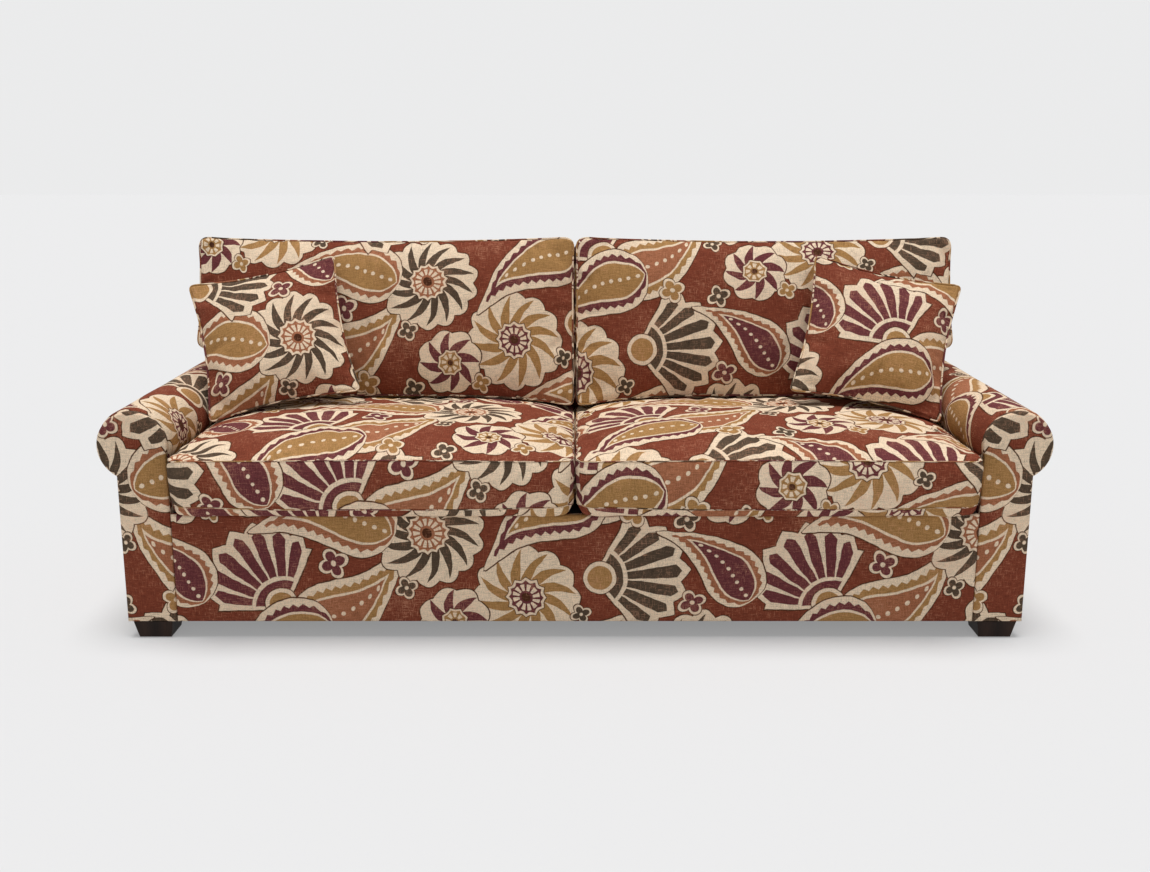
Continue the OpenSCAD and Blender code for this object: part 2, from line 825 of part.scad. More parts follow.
module scatter_cushion(s) {
  color(fabric) side(s) difference() {
    stand_up() skin(scatter_rings(), [0, 0, -scatter_t / 2], [0, 0, scatter_t / 2]);
    pad_block(fit_gap);
  }
}

module scatter_pad(s) {
  color(foam) side(s) pad_block(0);
}

front_rail();
back_seat_rail();
seat_side_rails();
seat_cross_rails();
back_bottom_rail();
arm_bottom_rail(-1);  // arm_bottom_rail_left
arm_bottom_rail(1);  // arm_bottom_rail_right
arm_scroll_boards(-1);  // arm_scroll_boards_left
arm_scroll_boards(1);  // arm_scroll_boards_right
arm_top_rail(-1);  // arm_top_rail_left
arm_top_rail(1);  // arm_top_rail_right
back_post(-1);  // back_post_left
back_post(1);  // back_post_right
back_stiles();
back_top_rail();
back_tuck_rail();
back_wing(-1);  // back_wing_left
back_wing(1);  // back_wing_right
corner_blocks();
seat_springs();
spring_clips();
back_webbing();
seat_platform();
front_border();
inside_back();
outside_back();
back_cap();
back_side(-1);  // back_side_left
back_side(1);  // back_side_right
inside_arm(-1);  // inside_arm_left
inside_arm(1);  // inside_arm_right
outside_arm(-1);  // outside_arm_left
outside_arm(1);  // outside_arm_right
arm_roll(-1);  // arm_roll_left
arm_roll(1);  // arm_roll_right
arm_facing(-1);  // arm_facing_left
arm_facing(1);  // arm_facing_right
arm_back_facing(-1);  // arm_back_facing_left
arm_back_facing(1);  // arm_back_facing_right
dust_cover();
foot(-1, false);  // foot_front_left
foot(1, false);  // foot_front_right
foot(-1, true);  // foot_back_left
foot(1, true);  // foot_back_right
foot_bolts();
foot_glides();
seat_cushion(-1);  // seat_cushion_left
seat_cushion(1);  // seat_cushion_right
seat_core(-1);  // seat_core_left
seat_core(1);  // seat_core_right
back_cushion(-1);  // back_cushion_left
back_cushion(1);  // back_cushion_right
back_core(-1);  // back_core_left
back_core(1);  // back_core_right
scatter_cushion(-1);  // scatter_cushion_left
scatter_cushion(1);  // scatter_cushion_right
scatter_pad(-1);  // scatter_pad_left
scatter_pad(1);  // scatter_pad_right
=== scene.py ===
import json
import math

import bpy
import numpy as np
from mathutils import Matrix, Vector, noise


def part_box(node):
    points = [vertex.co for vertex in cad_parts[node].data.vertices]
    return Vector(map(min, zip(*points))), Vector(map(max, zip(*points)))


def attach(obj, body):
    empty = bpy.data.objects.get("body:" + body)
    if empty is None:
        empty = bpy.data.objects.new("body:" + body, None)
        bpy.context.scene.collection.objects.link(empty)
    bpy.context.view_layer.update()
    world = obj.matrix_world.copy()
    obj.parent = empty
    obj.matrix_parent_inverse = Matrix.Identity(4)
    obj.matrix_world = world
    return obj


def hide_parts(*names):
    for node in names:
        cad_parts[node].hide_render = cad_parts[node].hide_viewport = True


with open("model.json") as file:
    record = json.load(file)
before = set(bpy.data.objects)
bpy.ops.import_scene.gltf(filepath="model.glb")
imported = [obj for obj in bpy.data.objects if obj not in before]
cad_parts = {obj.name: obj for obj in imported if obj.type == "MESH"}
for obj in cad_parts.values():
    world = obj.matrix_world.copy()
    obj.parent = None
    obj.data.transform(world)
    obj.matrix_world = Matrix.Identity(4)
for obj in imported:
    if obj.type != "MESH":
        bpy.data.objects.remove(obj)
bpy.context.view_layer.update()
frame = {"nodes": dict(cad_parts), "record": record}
nodes = frame["nodes"]
bpy.ops.object.select_all(action="DESELECT")


# Camera

photoCamera = {
    "place": (0.0, -3.5643, 1.2415),
    "down": 12.71,  # degrees below level
    "lens": 40.383,
    "sensor": 36.0,
}


def makeCamera(s):
    data = bpy.data.cameras.new("photo_camera")
    data.lens, data.sensor_width, data.sensor_fit = s["lens"], s["sensor"], "HORIZONTAL"
    data.clip_start, data.clip_end = 0.05, 80
    camera = bpy.data.objects.new("photo_camera", data)
    camera.location = s["place"]
    camera.rotation_euler = (math.radians(90 - s["down"]), 0, 0)
    bpy.context.scene.collection.objects.link(camera)
    bpy.context.scene.camera = camera


makeCamera(photoCamera)
print("camera placed")


# Shader maths as expressions

class Value:  # a number that varies over the surface
    def __init__(self, tree, socket):
        self.tree, self.socket = tree, socket

    def math(self, operation, *others):
        return self.tree.node("Math", {"operation": operation}, dict(enumerate((self,) + others)))

    def __add__(self, other):
        return self.math("ADD", other)

    __radd__ = __add__

    def __mul__(self, other):
        return self.math("MULTIPLY", other)

    __rmul__ = __mul__

    def __sub__(self, other):
        return self.math("SUBTRACT", other)

    def __rsub__(self, other):
        return self.tree.node("Math", {"operation": "SUBTRACT"}, {0: other, 1: self})

    def __truediv__(self, other):
        return self.math("DIVIDE", other)

    def __abs__(self):
        return self.math("ABSOLUTE")

    def floor(self):
        return self.math("FLOOR")

    def fraction(self):
        return self.math("FRACT")

    def sin(self):
        return self.math("SINE")

    def cos(self):
        return self.math("COSINE")

    def root(self):
        return self.math("SQRT")

    def least(self, other):
        return self.math("MINIMUM", other)

    def most(self, other):
        return self.math("MAXIMUM", other)

    def over(self, low, high):  # 0 below low, 1 above high, smooth between
        return self.tree.node("MapRange", {"interpolation_type": "SMOOTHSTEP"}, {0: self, 1: low, 2: high})


class Finish:  # a material, or the world, and its nodes
    def __init__(self, name, world=None):
        self.material = world or bpy.data.materials.new(name)
        self.material.use_nodes = True
        self.tree = self.material.node_tree
        self.tree.nodes.clear()

    def node(self, kind, settings=None, inputs=None, output=0):
        made = self.tree.nodes.new("ShaderNode" + kind)
        for key, value in (settings or {}).items():
            if key == "stops":
                ramp = made.color_ramp
                while len(ramp.elements) < len(value):
                    ramp.elements.new(0.5)
                for element, (place, colour) in zip(ramp.elements, value):
                    element.position, element.color = place, colour
            else:
                setattr(made, key, value)
        for key, value in (inputs or {}).items():
            if isinstance(value, Value):
                self.tree.links.new(value.socket, made.inputs[key])
            else:
                made.inputs[key].default_value = value
        return Value(self, made.outputs[output]) if len(made.outputs) else None

    def split(self, vector):
        parts = self.node("SeparateXYZ", {}, {0: vector})
        return [Value(self, parts.socket.node.outputs[k]) for k in range(3)]

    def join(self, x, y, z=0.0):
        return self.node("CombineXYZ", {}, {0: x, 1: y, 2: z})

    def place(self, scale=None):
        parts = self.split(self.node("TexCoord", {}, {}, "Object"))
        return [part * scale for part in parts] if scale else parts

    def cloth(self):
        return self.split(self.node("UVMap", {"uv_map": "cloth"}))[:2]

    def noise(self, x, y, z=0.0, detail=2.0, scale=1.0):
        return self.node("TexNoise", {}, {"Vector": self.join(x, y, z), "Scale": scale, "Detail": detail})

    def length(self, x, y):
        return (x * x + y * y).root()

    def angle(self, y, x):
        return y.math("ARCTAN2", x)

    def blend(self, under, over, factor, how="MIX"):
        return self.node("Mix", {"data_type": "RGBA", "blend_type": how}, {0: factor, 6: under, 7: over}, 2)

    def bump(self, height, strength, distance):
        return self.node("Bump", {}, {"Height": height, "Strength": strength, "Distance": distance})

    def surface(self, colour, roughness, normal=None, **fixed):
        inputs = {"Base Color": colour, "Roughness": roughness}
        if normal is not None:
            inputs["Normal"] = normal
        inputs.update({key.replace("_", " "): value for key, value in fixed.items()})
        self.node("OutputMaterial", {}, {"Surface": self.node("BsdfPrincipled", {}, inputs)})
        return self.material


# The printed cloth

def ink(r, g, b):  # a colour in 0 to 255, made linear
    return tuple(((c / 255 + 0.055) / 1.055) ** 2.4 for c in (r, g, b)) + (1.0,)


clothPrint = {
    "width": 0.70,  # one column of the print
    "drop": 0.70,  # its repeat, each column half a drop lower
    "ground": ink(117, 58, 41),
    "cream": ink(221, 199, 172),
    "ochre": ink(158, 119, 73),
    "burgundy": ink(101, 52, 54),
    "charcoal": ink(80, 66, 53),
    "terracotta": ink(152, 97, 69),
    "faded": ink(168, 122, 96),
    "line": ink(74, 43, 27),
    "thread": 0.0017,
    "strays": 0.020,  # how far a drawn line strays
    "weft": (46, 380), "warp": (380, 52), "fine": 430,  # unevenness of the threads, per metre of u and v
    "worn": (0.74, 0.94), "fade": 0.5,  # where the ink is worn off the threads, and how much
}


def nearest(u, v, spot):  # place inside the nearest copy of a motif, in the motif's own radius
    x0, y0, turn, size = spot
    column = ((u - x0) / clothPrint["width"] + 0.5).floor()
    x = u - x0 - column * clothPrint["width"]
    y = v - y0 - column * (clothPrint["drop"] / 2)
    y = y - (y / clothPrint["drop"] + 0.5).floor() * clothPrint["drop"]
    c, s = math.cos(turn) / size, math.sin(turn) / size
    return x * c + y * s, y * c - x * s, size


def painted(t, under, depth, size, fill):
    soft = 0.0009 / size
    return t.blend(under, clothPrint[fill], depth.over(-soft, soft))


def inked(t, under, depth, size, fill, line=0.0034):  # a line round the shape, and its fill
    return painted(t, painted(t, under, depth + line / size, size, "line"), depth, size, fill)


def rosette(t, under, u, v, spot, petals, dark, heart):
    x, y, size = nearest(u, v, spot)
    r, a = t.length(x, y), t.angle(y, x)
    rim = abs((a * (petals / 2)).cos()) * 0.11 + 0.89
    under = inked(t, under, rim - r, size, "cream")
    tooth = abs(((a + r * 0.75) * (petals / (2 * math.pi))).fraction() - 0.5) * 2
    flame = (0.93 - r) * 1.55 - tooth * 0.9  # teeth that run out towards the rim
    under = painted(t, under, flame.least((r - 0.36) * 2 + 0.1), size, dark)
    ring = 0.36 - abs((a * (petals / 2)).sin()) * 0.05 - r
    under = inked(t, under, ring + 0.035, size, "cream", 0.0024)
    under = painted(t, under, ring - 0.02, size, heart)
    seed = abs((a * (petals / (2 * math.pi))).fraction() - 0.5) * 2
    under = painted(t, under, (0.26 - r).least(r - 0.13).least((0.62 - seed) * 0.2), size, "cream")
    return painted(t, under, 0.085 - r, size, "line")


def fan(t, under, u, v, spot, rays, dark, cup):  # a flower seen from the side, opening along +x
    x, y, size = nearest(u, v, spot)
    x = x + 0.55
    r, a = t.length(x, y), t.angle(y, x)
    spread = abs(a)
    saw = abs((a * (rays / 1.9) + 0.5).fraction() - 0.5) * 2
    top = 1.42 - spread * spread * 0.34 - saw * 0.13
    side = (1.02 - spread) * r * 0.9 + 0.015
    body = (top - r).least(side)
    under = inked(t, under, body, size, "cream")
    ray = (1 - saw) * 0.62 - 0.16 - (r - 0.75) * 0.22
    ray = (ray * r * 0.34).least(top - 0.13 - r).least(r - 0.50).least(side - 0.07)
    under = painted(t, under, ray, size, dark)
    under = painted(t, under, (0.44 - r).least(side - 0.05).least(r - 0.12), size, dark)
    cupDepth = 0.25 - t.length(x - 0.08, y)
    under = inked(t, under, cupDepth, size, "cream", 0.0024)
    return painted(t, under, cupDepth - 0.06, size, cup)


def drop(t, under, u, v, spot, dark, heart):  # a bent drop, its tip towards +x
    x, y, size = nearest(u, v, spot)
    bend = (x + 0.35).most(0)
    y = y - bend * bend * 0.42 + 0.12
    wide = (1 - x * x).most(0).root() * (0.47 - x * 0.33)
    body = (wide - abs(y)) * 0.9 - (abs(x) - 1).most(0)
    under = inked(t, under, body, size, "cream")
    scallop = abs((x * 7).fraction() - 0.5) * 0.10
    under = painted(t, under, body - 0.075 - scallop, size, dark)
    under = painted(t, under, body - 0.19, size, "cream")
    under = painted(t, under, body - 0.225, size, heart)
    bead = 0.034 - t.length((x * 6.5).fraction() / 6.5 - 0.077, y)
    return painted(t, under, bead.least(body - 0.25), size, "cream")


def bud(t, under, u, v, spot, dark):  # a small four-lobed flower
    x, y, size = nearest(u, v, spot)
    r, a = t.length(x, y), t.angle(y, x)
    lobe = abs((a * 2).cos()) * 0.42 + 0.58 - r
    under = inked(t, under, lobe, size, "cream", 0.0026)
    under = painted(t, under, lobe - 0.2, size, dark)
    return painted(t, under, 0.17 - r, size, "cream")


motifs = (  # place in the column, turn and radius; then how many petals, if it has any, and the inks
    (fan, (0.155, 0.142, 2.15, 0.170), 7, "burgundy", "ochre"),
    (drop, (0.388, 0.078, 0.30, 0.174), "ochre", "terracotta"),
    (rosette, (0.577, 0.262, 0.2, 0.142), 14, "charcoal", "terracotta"),
    (drop, (0.325, 0.303, 2.75, 0.172), "terracotta", "ochre"),
    (rosette, (0.125, 0.442, 0.0, 0.137), 12, "ochre", "burgundy"),
    (fan, (0.395, 0.502, 0.10, 0.171), 7, "charcoal", "ochre"),
    (drop, (0.165, 0.660, 3.35, 0.172), "burgundy", "ochre"),
    (rosette, (0.640, 0.026, 0.3, 0.092), 8, "burgundy", "ochre"),
    (drop, (0.612, 0.540, 2.10, 0.142), "terracotta", "burgundy"),
    (bud, (0.335, 0.180, 0.4, 0.040), "burgundy"),
    (bud, (0.262, 0.398, 0.4, 0.028), "charcoal"),
    (bud, (0.550, 0.425, 0.4, 0.036), "burgundy"),
    (bud, (0.400, 0.665, 0.4, 0.038), "ochre"),
    (bud, (0.520, 0.118, 0.4, 0.030), "charcoal"),
    (bud, (0.030, 0.318, 0.4, 0.030), "ochre"),
    (bud, (0.535, 0.648, 0.4, 0.034), "charcoal"),
)


def printedLinen(name):
    t = Finish(name)
    u, v = t.cloth()
    s = clothPrint
    hand = {"Vector": t.join(u, v), "Scale": 9.0, "Detail": 4.0, "Roughness": 0.55}
    shiftU, shiftV = t.split(t.node("TexNoise", {}, hand, "Color"))[:2]
    drawnU, drawnV = u + (shiftU - 0.5) * s["strays"], v + (shiftV - 0.5) * s["strays"]
    colour = s["ground"]
    for motif, spot, *look in motifs:
        colour = motif(t, colour, drawnU, drawnV, spot, *look)
    across = t.noise(u * s["weft"][0], v * s["weft"][1])
    along = t.noise(u * s["warp"][0], v * s["warp"][1], 3.0)
    fine = t.noise(u * s["fine"], v * s["fine"], 5.0)
    patch = t.noise(u, v, 1.0, detail=3.0, scale=8.0)
    slub = across * 0.34 + along * 0.26 + fine * 0.40
    worn = (across.most(along) * 0.75 + fine * 0.25 + patch * 0.40).over(*s["worn"])
    colour = t.blend(colour, s["faded"], worn * s["fade"])
    tone = (slub - 0.5) * 3.0 + patch * 0.3 + 0.85
    colour = t.blend(colour, t.join(tone, tone, tone), 1.0, "MULTIPLY")
    pitch = 2 * math.pi / s["thread"]
    weave = (u * pitch).sin() * (v * pitch).sin() * 0.25 + slub
    return t.surface(colour, slub * 0.2 + 0.8, t.bump(weave, 0.35, 0.0012), Specular_IOR_Level=0.08)


clothUv = printedLinen("printed_linen")


# Padded pieces

def quadGrid(xs, ys, keep):  # corners and squares of the kept cells, and their edge, anticlockwise
    number, points, quads = {}, [], []

    def corner(i, j):
        if (i, j) not in number:
            number[i, j] = len(points)
            points.append((xs[i], ys[j]))
        return number[i, j]

    for j in range(len(ys) - 1):
        for i in range(len(xs) - 1):
            if keep((xs[i] + xs[i + 1]) / 2, (ys[j] + ys[j + 1]) / 2):
                quads.append([corner(i, j), corner(i + 1, j), corner(i + 1, j + 1), corner(i, j + 1)])
    edges = {(q[k], q[(k + 1) % 4]) for q in quads for k in range(4)}
    after = {a: b for a, b in edges if (b, a) not in edges}
    ring = [0]
    while after[ring[-1]] != 0:
        ring.append(after[ring[-1]])
    return np.array(points), quads, np.array(ring)


def roundCorners(points, corners, r):  # bends the grid inside each corner's square into a quarter disc
    out = points.copy()
    for cx, cy, sx, sy in corners:  # the corner and the way inwards
        a, b = 1 - (points[:, 0] - cx) * sx / r, 1 - (points[:, 1] - cy) * sy / r
        inside = (a > 0) & (b > 0)
        a, b = a[inside], b[inside]
        out[inside, 0] = cx + sx * r * (1 - a * np.sqrt(1 - b * b / 2))
        out[inside, 1] = cy + sy * r * (1 - b * np.sqrt(1 - a * a / 2))
    return out


def ringFrame(path):  # outward normals and running length of a closed anticlockwise path in the plane
    ahead, behind = np.roll(path, -1, 0), np.roll(path, 1, 0)
    way = ahead - behind
    way /= np.linalg.norm(way, axis=1)[:, None]
    length = np.concatenate([[0], np.cumsum(np.linalg.norm(ahead - path, axis=1))])
    return np.stack([way[:, 1], -way[:, 0]], 1), length


def evenSteps(stops, step):  # the stops, and even steps between them
    out = [stops[0]]
    for a, b in zip(stops, stops[1:]):
        n = max(1, round((b - a) / step))
        out += [a + (b - a) * k / n for k in range(1, n + 1)]
    return out


def uneven(plan, scale, seed):  # a gentle swell over the plan, -1 to 1
    return np.array([noise.noise(Vector((p[0] * scale, p[1] * scale, seed))) for p in plan])


def meshPiece(name, verts, faces, cloth, cut, turned=False, material=None):
    # cloth is each face's corners on the cloth, cut is their place on the print
    if turned:
        faces, cloth = [f[::-1] for f in faces], [f[::-1] for f in cloth]
    mesh = bpy.data.meshes.new(name)
    mesh.from_pydata([tuple(map(float, v)) for v in verts], [], faces)
    layer = mesh.uv_layers.new(name="cloth")
    printed = [value for f in cloth for c in f for value in (c[0] + cut[0], c[1] + cut[1])]
    layer.uv.foreach_set("vector", printed)
    mesh.polygons.foreach_set("use_smooth", [True] * len(faces))
    piece = bpy.data.objects.new(name, mesh)
    bpy.context.scene.collection.objects.link(piece)
    mesh.materials.append(material or clothUv)
    return piece


boxingCut = (0.11, 0.37)  # where the boxing is cut, measured from its cushion's place on the print


def shellMesh(name, points, flat, quads, ring, rows, deep, shape, mirror, cut, material=None):
    # two panels and the boxing between them; flat is the plan before its corners were rounded
    n, m = len(points), len(ring)
    plan = np.vstack([flat, flat] + [flat[ring]] * (rows - 1))
    real = np.vstack([points, points] + [points[ring]] * (rows - 1))
    level = np.concatenate([np.ones(n), np.zeros(n)] + [np.full(m, 1 - k / rows) for k in range(1, rows)])
    zone = np.concatenate([np.ones(n), -np.ones(n), np.zeros(m * (rows - 1))])
    normal, length = ringFrame(points[ring])
    out = np.zeros((len(plan), 2))
    out[2 * n:] = np.tile(normal, (rows - 1, 1))
    places = shape(plan, real, level, zone, out)

    faces = [list(q) for q in quads] + [[n + c for c in reversed(q)] for q in quads]
    cloth = [points[q] for q in quads] + [points[q[::-1]] * (1, -1) for q in quads]
    seams = [ring.tolist(), (n + ring).tolist()]
    strips = [seams[0]] + [[2 * n + k * m + i for i in range(m)] for k in range(rows - 1)] + [seams[1]]
    for k in range(rows):
        for i in range(m):
            j = (i + 1) % m
            faces.append([strips[k][i], strips[k + 1][i], strips[k + 1][j], strips[k][j]])
            s0, s1 = length[i] + boxingCut[0], length[i + 1] + boxingCut[0]
            w0, w1 = (deep * (1 - down / rows) + boxingCut[1] for down in (k, k + 1))
            cloth.append([(s0, w0), (s0, w1), (s1, w1), (s1, w0)])
    if mirror:
        places = places * (-1, 1, 1)
        cloth = [[(-c[0], c[1]) for c in f] for f in cloth]
    piece = meshPiece(name, places, faces, cloth, cut, mirror, material)
    piece.vertex_groups.new(name="seam").add(seams[0] + seams[1], 1.0, "REPLACE")
    return piece, seams


def readVertices(mesh, what="co"):
    out = np.zeros(len(mesh.vertices) * 3)
    mesh.vertices.foreach_get(what, out)
    return out.reshape(-1, 3)


def joinTo(piece, others):
    for each in (piece, *others):
        each.select_set(True)
    bpy.context.view_layer.objects.active = piece
    bpy.ops.object.join()
    piece.select_set(False)


def spreadOut(values, edges, times):  # evens values out over the mesh
    a, b = edges.T
    count = np.bincount(np.concatenate([a, b]), minlength=len(values))[:, None]
    for _ in range(times):
        total = np.zeros_like(values)
        np.add.at(total, a, values[b])
        np.add.at(total, b, values[a])
        values = values * 0.5 + total / count * 0.5
    return values


puffing = {
    "frames": 16,
    "pressure": 3.0,
    "looser": -0.035,  # the cover is cut this much fuller than its seams
    "mass": 0.3, "stretch": 18, "shear": 6, "bend": 0.35, "quality": 6,
    "even": 26,  # rounds of evening out, which keep the swell and take out the creases
    "most": 0.006,  # how far a crease may stand off the form
}


def creases(pieces, s):  # fills the covers by cloth simulation and keeps their creases on the form
    scene = bpy.context.scene
    for piece in pieces:
        soft = piece.modifiers.new("filled", "CLOTH")
        c = soft.settings
        c.quality, c.mass = s["quality"], s["mass"]
        c.tension_stiffness = c.compression_stiffness = s["stretch"]
        c.shear_stiffness, c.bending_stiffness = s["shear"], s["bend"]
        c.effector_weights.gravity = 0
        c.use_pressure, c.uniform_pressure_force = True, s["pressure"]
        c.shrink_min = s["looser"]
        c.vertex_group_mass = "seam"
        soft.point_cache.frame_start, soft.point_cache.frame_end = 1, s["frames"]
    for step in range(1, s["frames"] + 1):
        scene.frame_set(step)
    view = bpy.context.evaluated_depsgraph_get()
    filled = [readVertices(p.evaluated_get(view).data) for p in pieces]
    for piece, after in zip(pieces, filled):
        piece.modifiers.clear()
        before = readVertices(piece.data)
        edges = np.zeros(len(piece.data.edges) * 2, int)
        piece.data.edges.foreach_get("vertices", edges)
        moved = after - before
        fine = moved - spreadOut(moved, edges.reshape(-1, 2), s["even"])
        size = np.linalg.norm(fine, axis=1)[:, None]
        swell = np.linalg.norm(moved, axis=1).max()
        print("%s creases to %.1f mm, swell %.1f mm" % (piece.name, size.max() * 1000, swell * 1000))
        fine *= np.minimum(1, s["most"] / np.maximum(size, 1e-6))
        piece.data.vertices.foreach_set("co", (before + fine).ravel())
        piece.data.update()
    scene.frame_set(1)


def subdivide(piece, levels):
    piece.select_set(True)
    bpy.context.view_layer.objects.active = piece
    finer = piece.modifiers.new("finer", "SUBSURF")
    finer.levels = finer.render_levels = levels
    bpy.ops.object.modifier_apply(modifier="finer")
    piece.select_set(False)


piping = {"sides": 8, "cut": (0.2, 0.45)}


def addPiping(piece, seams, radius, proud):  # a covered cord along each seam, as part of the cushion
    places, normals = readVertices(piece.data), readVertices(piece.data, "normal")
    verts, faces, cloth, sides = [], [], [], piping["sides"]
    for seam in seams:
        path, out = places[seam], normals[seam]
        for _ in range(2):
            path = path * 0.5 + (np.roll(path, 1, 0) + np.roll(path, -1, 0)) * 0.25
            out = out * 0.5 + (np.roll(out, 1, 0) + np.roll(out, -1, 0)) * 0.25
        before, ahead, later = np.roll(path, 1, 0), np.roll(path, -1, 0), np.roll(path, -2, 0)
        middle = (path + ahead) * 0.5625 - (before + later) * 0.0625
        path = np.stack([path, middle], 1).reshape(-1, 3)
        out = np.stack([out, (out + np.roll(out, -1, 0)) / 2], 1).reshape(-1, 3)
        way = np.roll(path, -1, 0) - np.roll(path, 1, 0)
        way /= np.linalg.norm(way, axis=1)[:, None]
        out -= way * np.sum(out * way, 1)[:, None]
        out /= np.linalg.norm(out, axis=1)[:, None]
        side = np.cross(way, out)
        centre = path + out * proud
        count, base = len(path), len(verts)
        run = np.concatenate([[0], np.cumsum(np.linalg.norm(np.roll(path, -1, 0) - path, axis=1))])
        for i in range(count):
            for k in range(sides):
                a = 2 * math.pi * k / sides
                verts.append(centre[i] + radius * (math.cos(a) * out[i] + math.sin(a) * side[i]))
        w = 2 * math.pi * radius / sides
        for i in range(count):
            here, there = base + i * sides, base + (i + 1) % count * sides
            for k in range(sides):
                up, low, high = (k + 1) % sides, k * w, (k + 1) * w
                faces.append([here + k, here + up, there + up, there + k])
                cloth.append([(run[i], low), (run[i], high), (run[i + 1], high), (run[i + 1], low)])
    joinTo(piece, [meshPiece("piping", verts, faces, cloth, piping["cut"])])


def clamp(x):
    return np.clip(x, 0, 1)


def hump(x):  # 0 at both ends, 1 halfway
    return np.sin(np.pi * x)


def dome(u, v, power=3.2, fullness=0.75):
    u, v = np.minimum(1, abs(u)) ** power, np.minimum(1, abs(v)) ** power
    return ((1 - u) * (1 - v)) ** fullness


sofa = {
    "frontY": -0.430, "backY": 0.490, "baseZ": 0.044,
    "deckY": 0.230, "deckZ": 0.330,  # where the deck meets the back
    "rake": math.radians(16),
}


# Seat cushions

seatCushion = {
    "x": (0.0008, 1.0138), "y": (-0.484, 0.228),
    "lowSeam": 0.032, "topSeam": 0.152, "crown": 0.056,
    "corner": 0.036, "swell": 0.006, "drawn": 0.009, "soft": 0.004,
    "roll": 0.055,  # how far in from its seam the underside comes down to the deck
    "lift": 0.006, "liftReach": 0.05,  # the lower corners in front stand a little off it
    "sag": 0.012, "overhang": 0.042,  # the underside droops in front of the border
    "step": 0.012, "rows": 11, "seams": 2, "piping": 0.0016, "proud": 0.0008, "fill": 0.8,
    "left": (1.3, (0.16, 0.05)), "right": (4.7, (0.0, 0.30)),  # seed, place on the print
}


def seatShape(s, seed):
    (x0, x1), (y0, y1) = s["x"], s["y"]
    deck = sofa["deckZ"]

    def shape(plan, real, level, zone, out):
        a, b = (plan[:, 0] - x0) / (x1 - x0), (plan[:, 1] - y0) / (y1 - y0)
        x, y = real[:, 0].copy(), real[:, 1].copy()
        y += s["drawn"] * hump(a) * (1 - b) ** 2
        edge = np.minimum.reduce([plan[:, 0] - x0, x1 - plan[:, 0], plan[:, 1] - y0, y1 - plan[:, 1]])
        inward = clamp(1 - edge / s["roll"])
        aside = np.minimum(plan[:, 0] - x0, x1 - plan[:, 0])
        corner = np.exp(-np.hypot(aside, plan[:, 1] - y0) / s["liftReach"])
        soft = uneven(plan, 5, seed) * s["soft"]
        fade = np.clip((0.05 - plan[:, 1]) / 0.1, 0.15, 1)  # even under the back
        soft *= clamp(edge / 0.08) * fade
        top = deck + s["topSeam"] + s["crown"] * dome(a * 2 - 1, b * 2 - 1) + soft
        low = deck + 0.0004 + s["lowSeam"] * (1 - np.sqrt(1 - inward ** 2)) + s["lift"] * corner
        front = clamp((plan[:, 1] - y0) / s["overhang"])
        low -= s["sag"] * hump(front) * hump(a) ** 0.5
        side = deck + s["lowSeam"] + s["lift"] * corner * (1 - level) + level * (s["topSeam"] - s["lowSeam"])
        z = np.where(zone > 0, top, np.where(zone < 0, low, side))
        forward = clamp(-out[:, 1])
        swell = s["swell"] * hump(level) * (forward + 0.12 * (1 - forward))
        x += out[:, 0] * swell
        y += out[:, 1] * swell
        x += np.where(zone < 1, (1 - level) * s["lift"] * corner * np.sign(0.5 - a), 0)
        return np.stack([x, y, z], 1)

    return shape


def makeSeat(s, side):
    seed, cut = s[side]
    (x0, x1), (y0, y1), r = s["x"], s["y"], s["corner"]
    xs = evenSteps([x0, x0 + r, x1 - r, x1], s["step"])
    ys = evenSteps([y0, y0 + r, y1 - r, y1], s["step"])
    flat, quads, ring = quadGrid(xs, ys, lambda x, y: True)
    points = roundCorners(flat, [(x0, y0, 1, 1), (x1, y0, -1, 1), (x1, y1, -1, -1), (x0, y1, 1, -1)], r)
    return shellMesh("seat_%s_cover" % side, points, flat, quads, ring, s["rows"],
                     s["topSeam"] - s["lowSeam"], seatShape(s, seed), side == "left", cut)


# Back cushions

backCushion = {
    "x": (0.0008, 1.0138, 1.1018), "low": 0.1595, "ear": 0.140, "high": 0.471,
    "box": 0.165, "crown": 0.048, "corner": 0.030, "lowCorner": 0.018, "drawn": 0.015, "soft": 0.004,
    "round": 0.022, "roll": 0.045,  # depth of the rear's rounded edge, and how far in it reaches
    "swell": 0.005, "waist": 0.005,
    "notch": 0.13,  # how far from the arm's notch the crown is full
    "hang": 0.032,  # how far the lower corners of the front settle round the seat's crown
    "step": 0.012, "rows": 13, "seams": 2, "piping": 0.0026, "proud": 0.0008, "fill": 0.7,
    "left": (2.1, (0.30, 0.12)), "right": (6.4, (0.12, 0.20)),
}


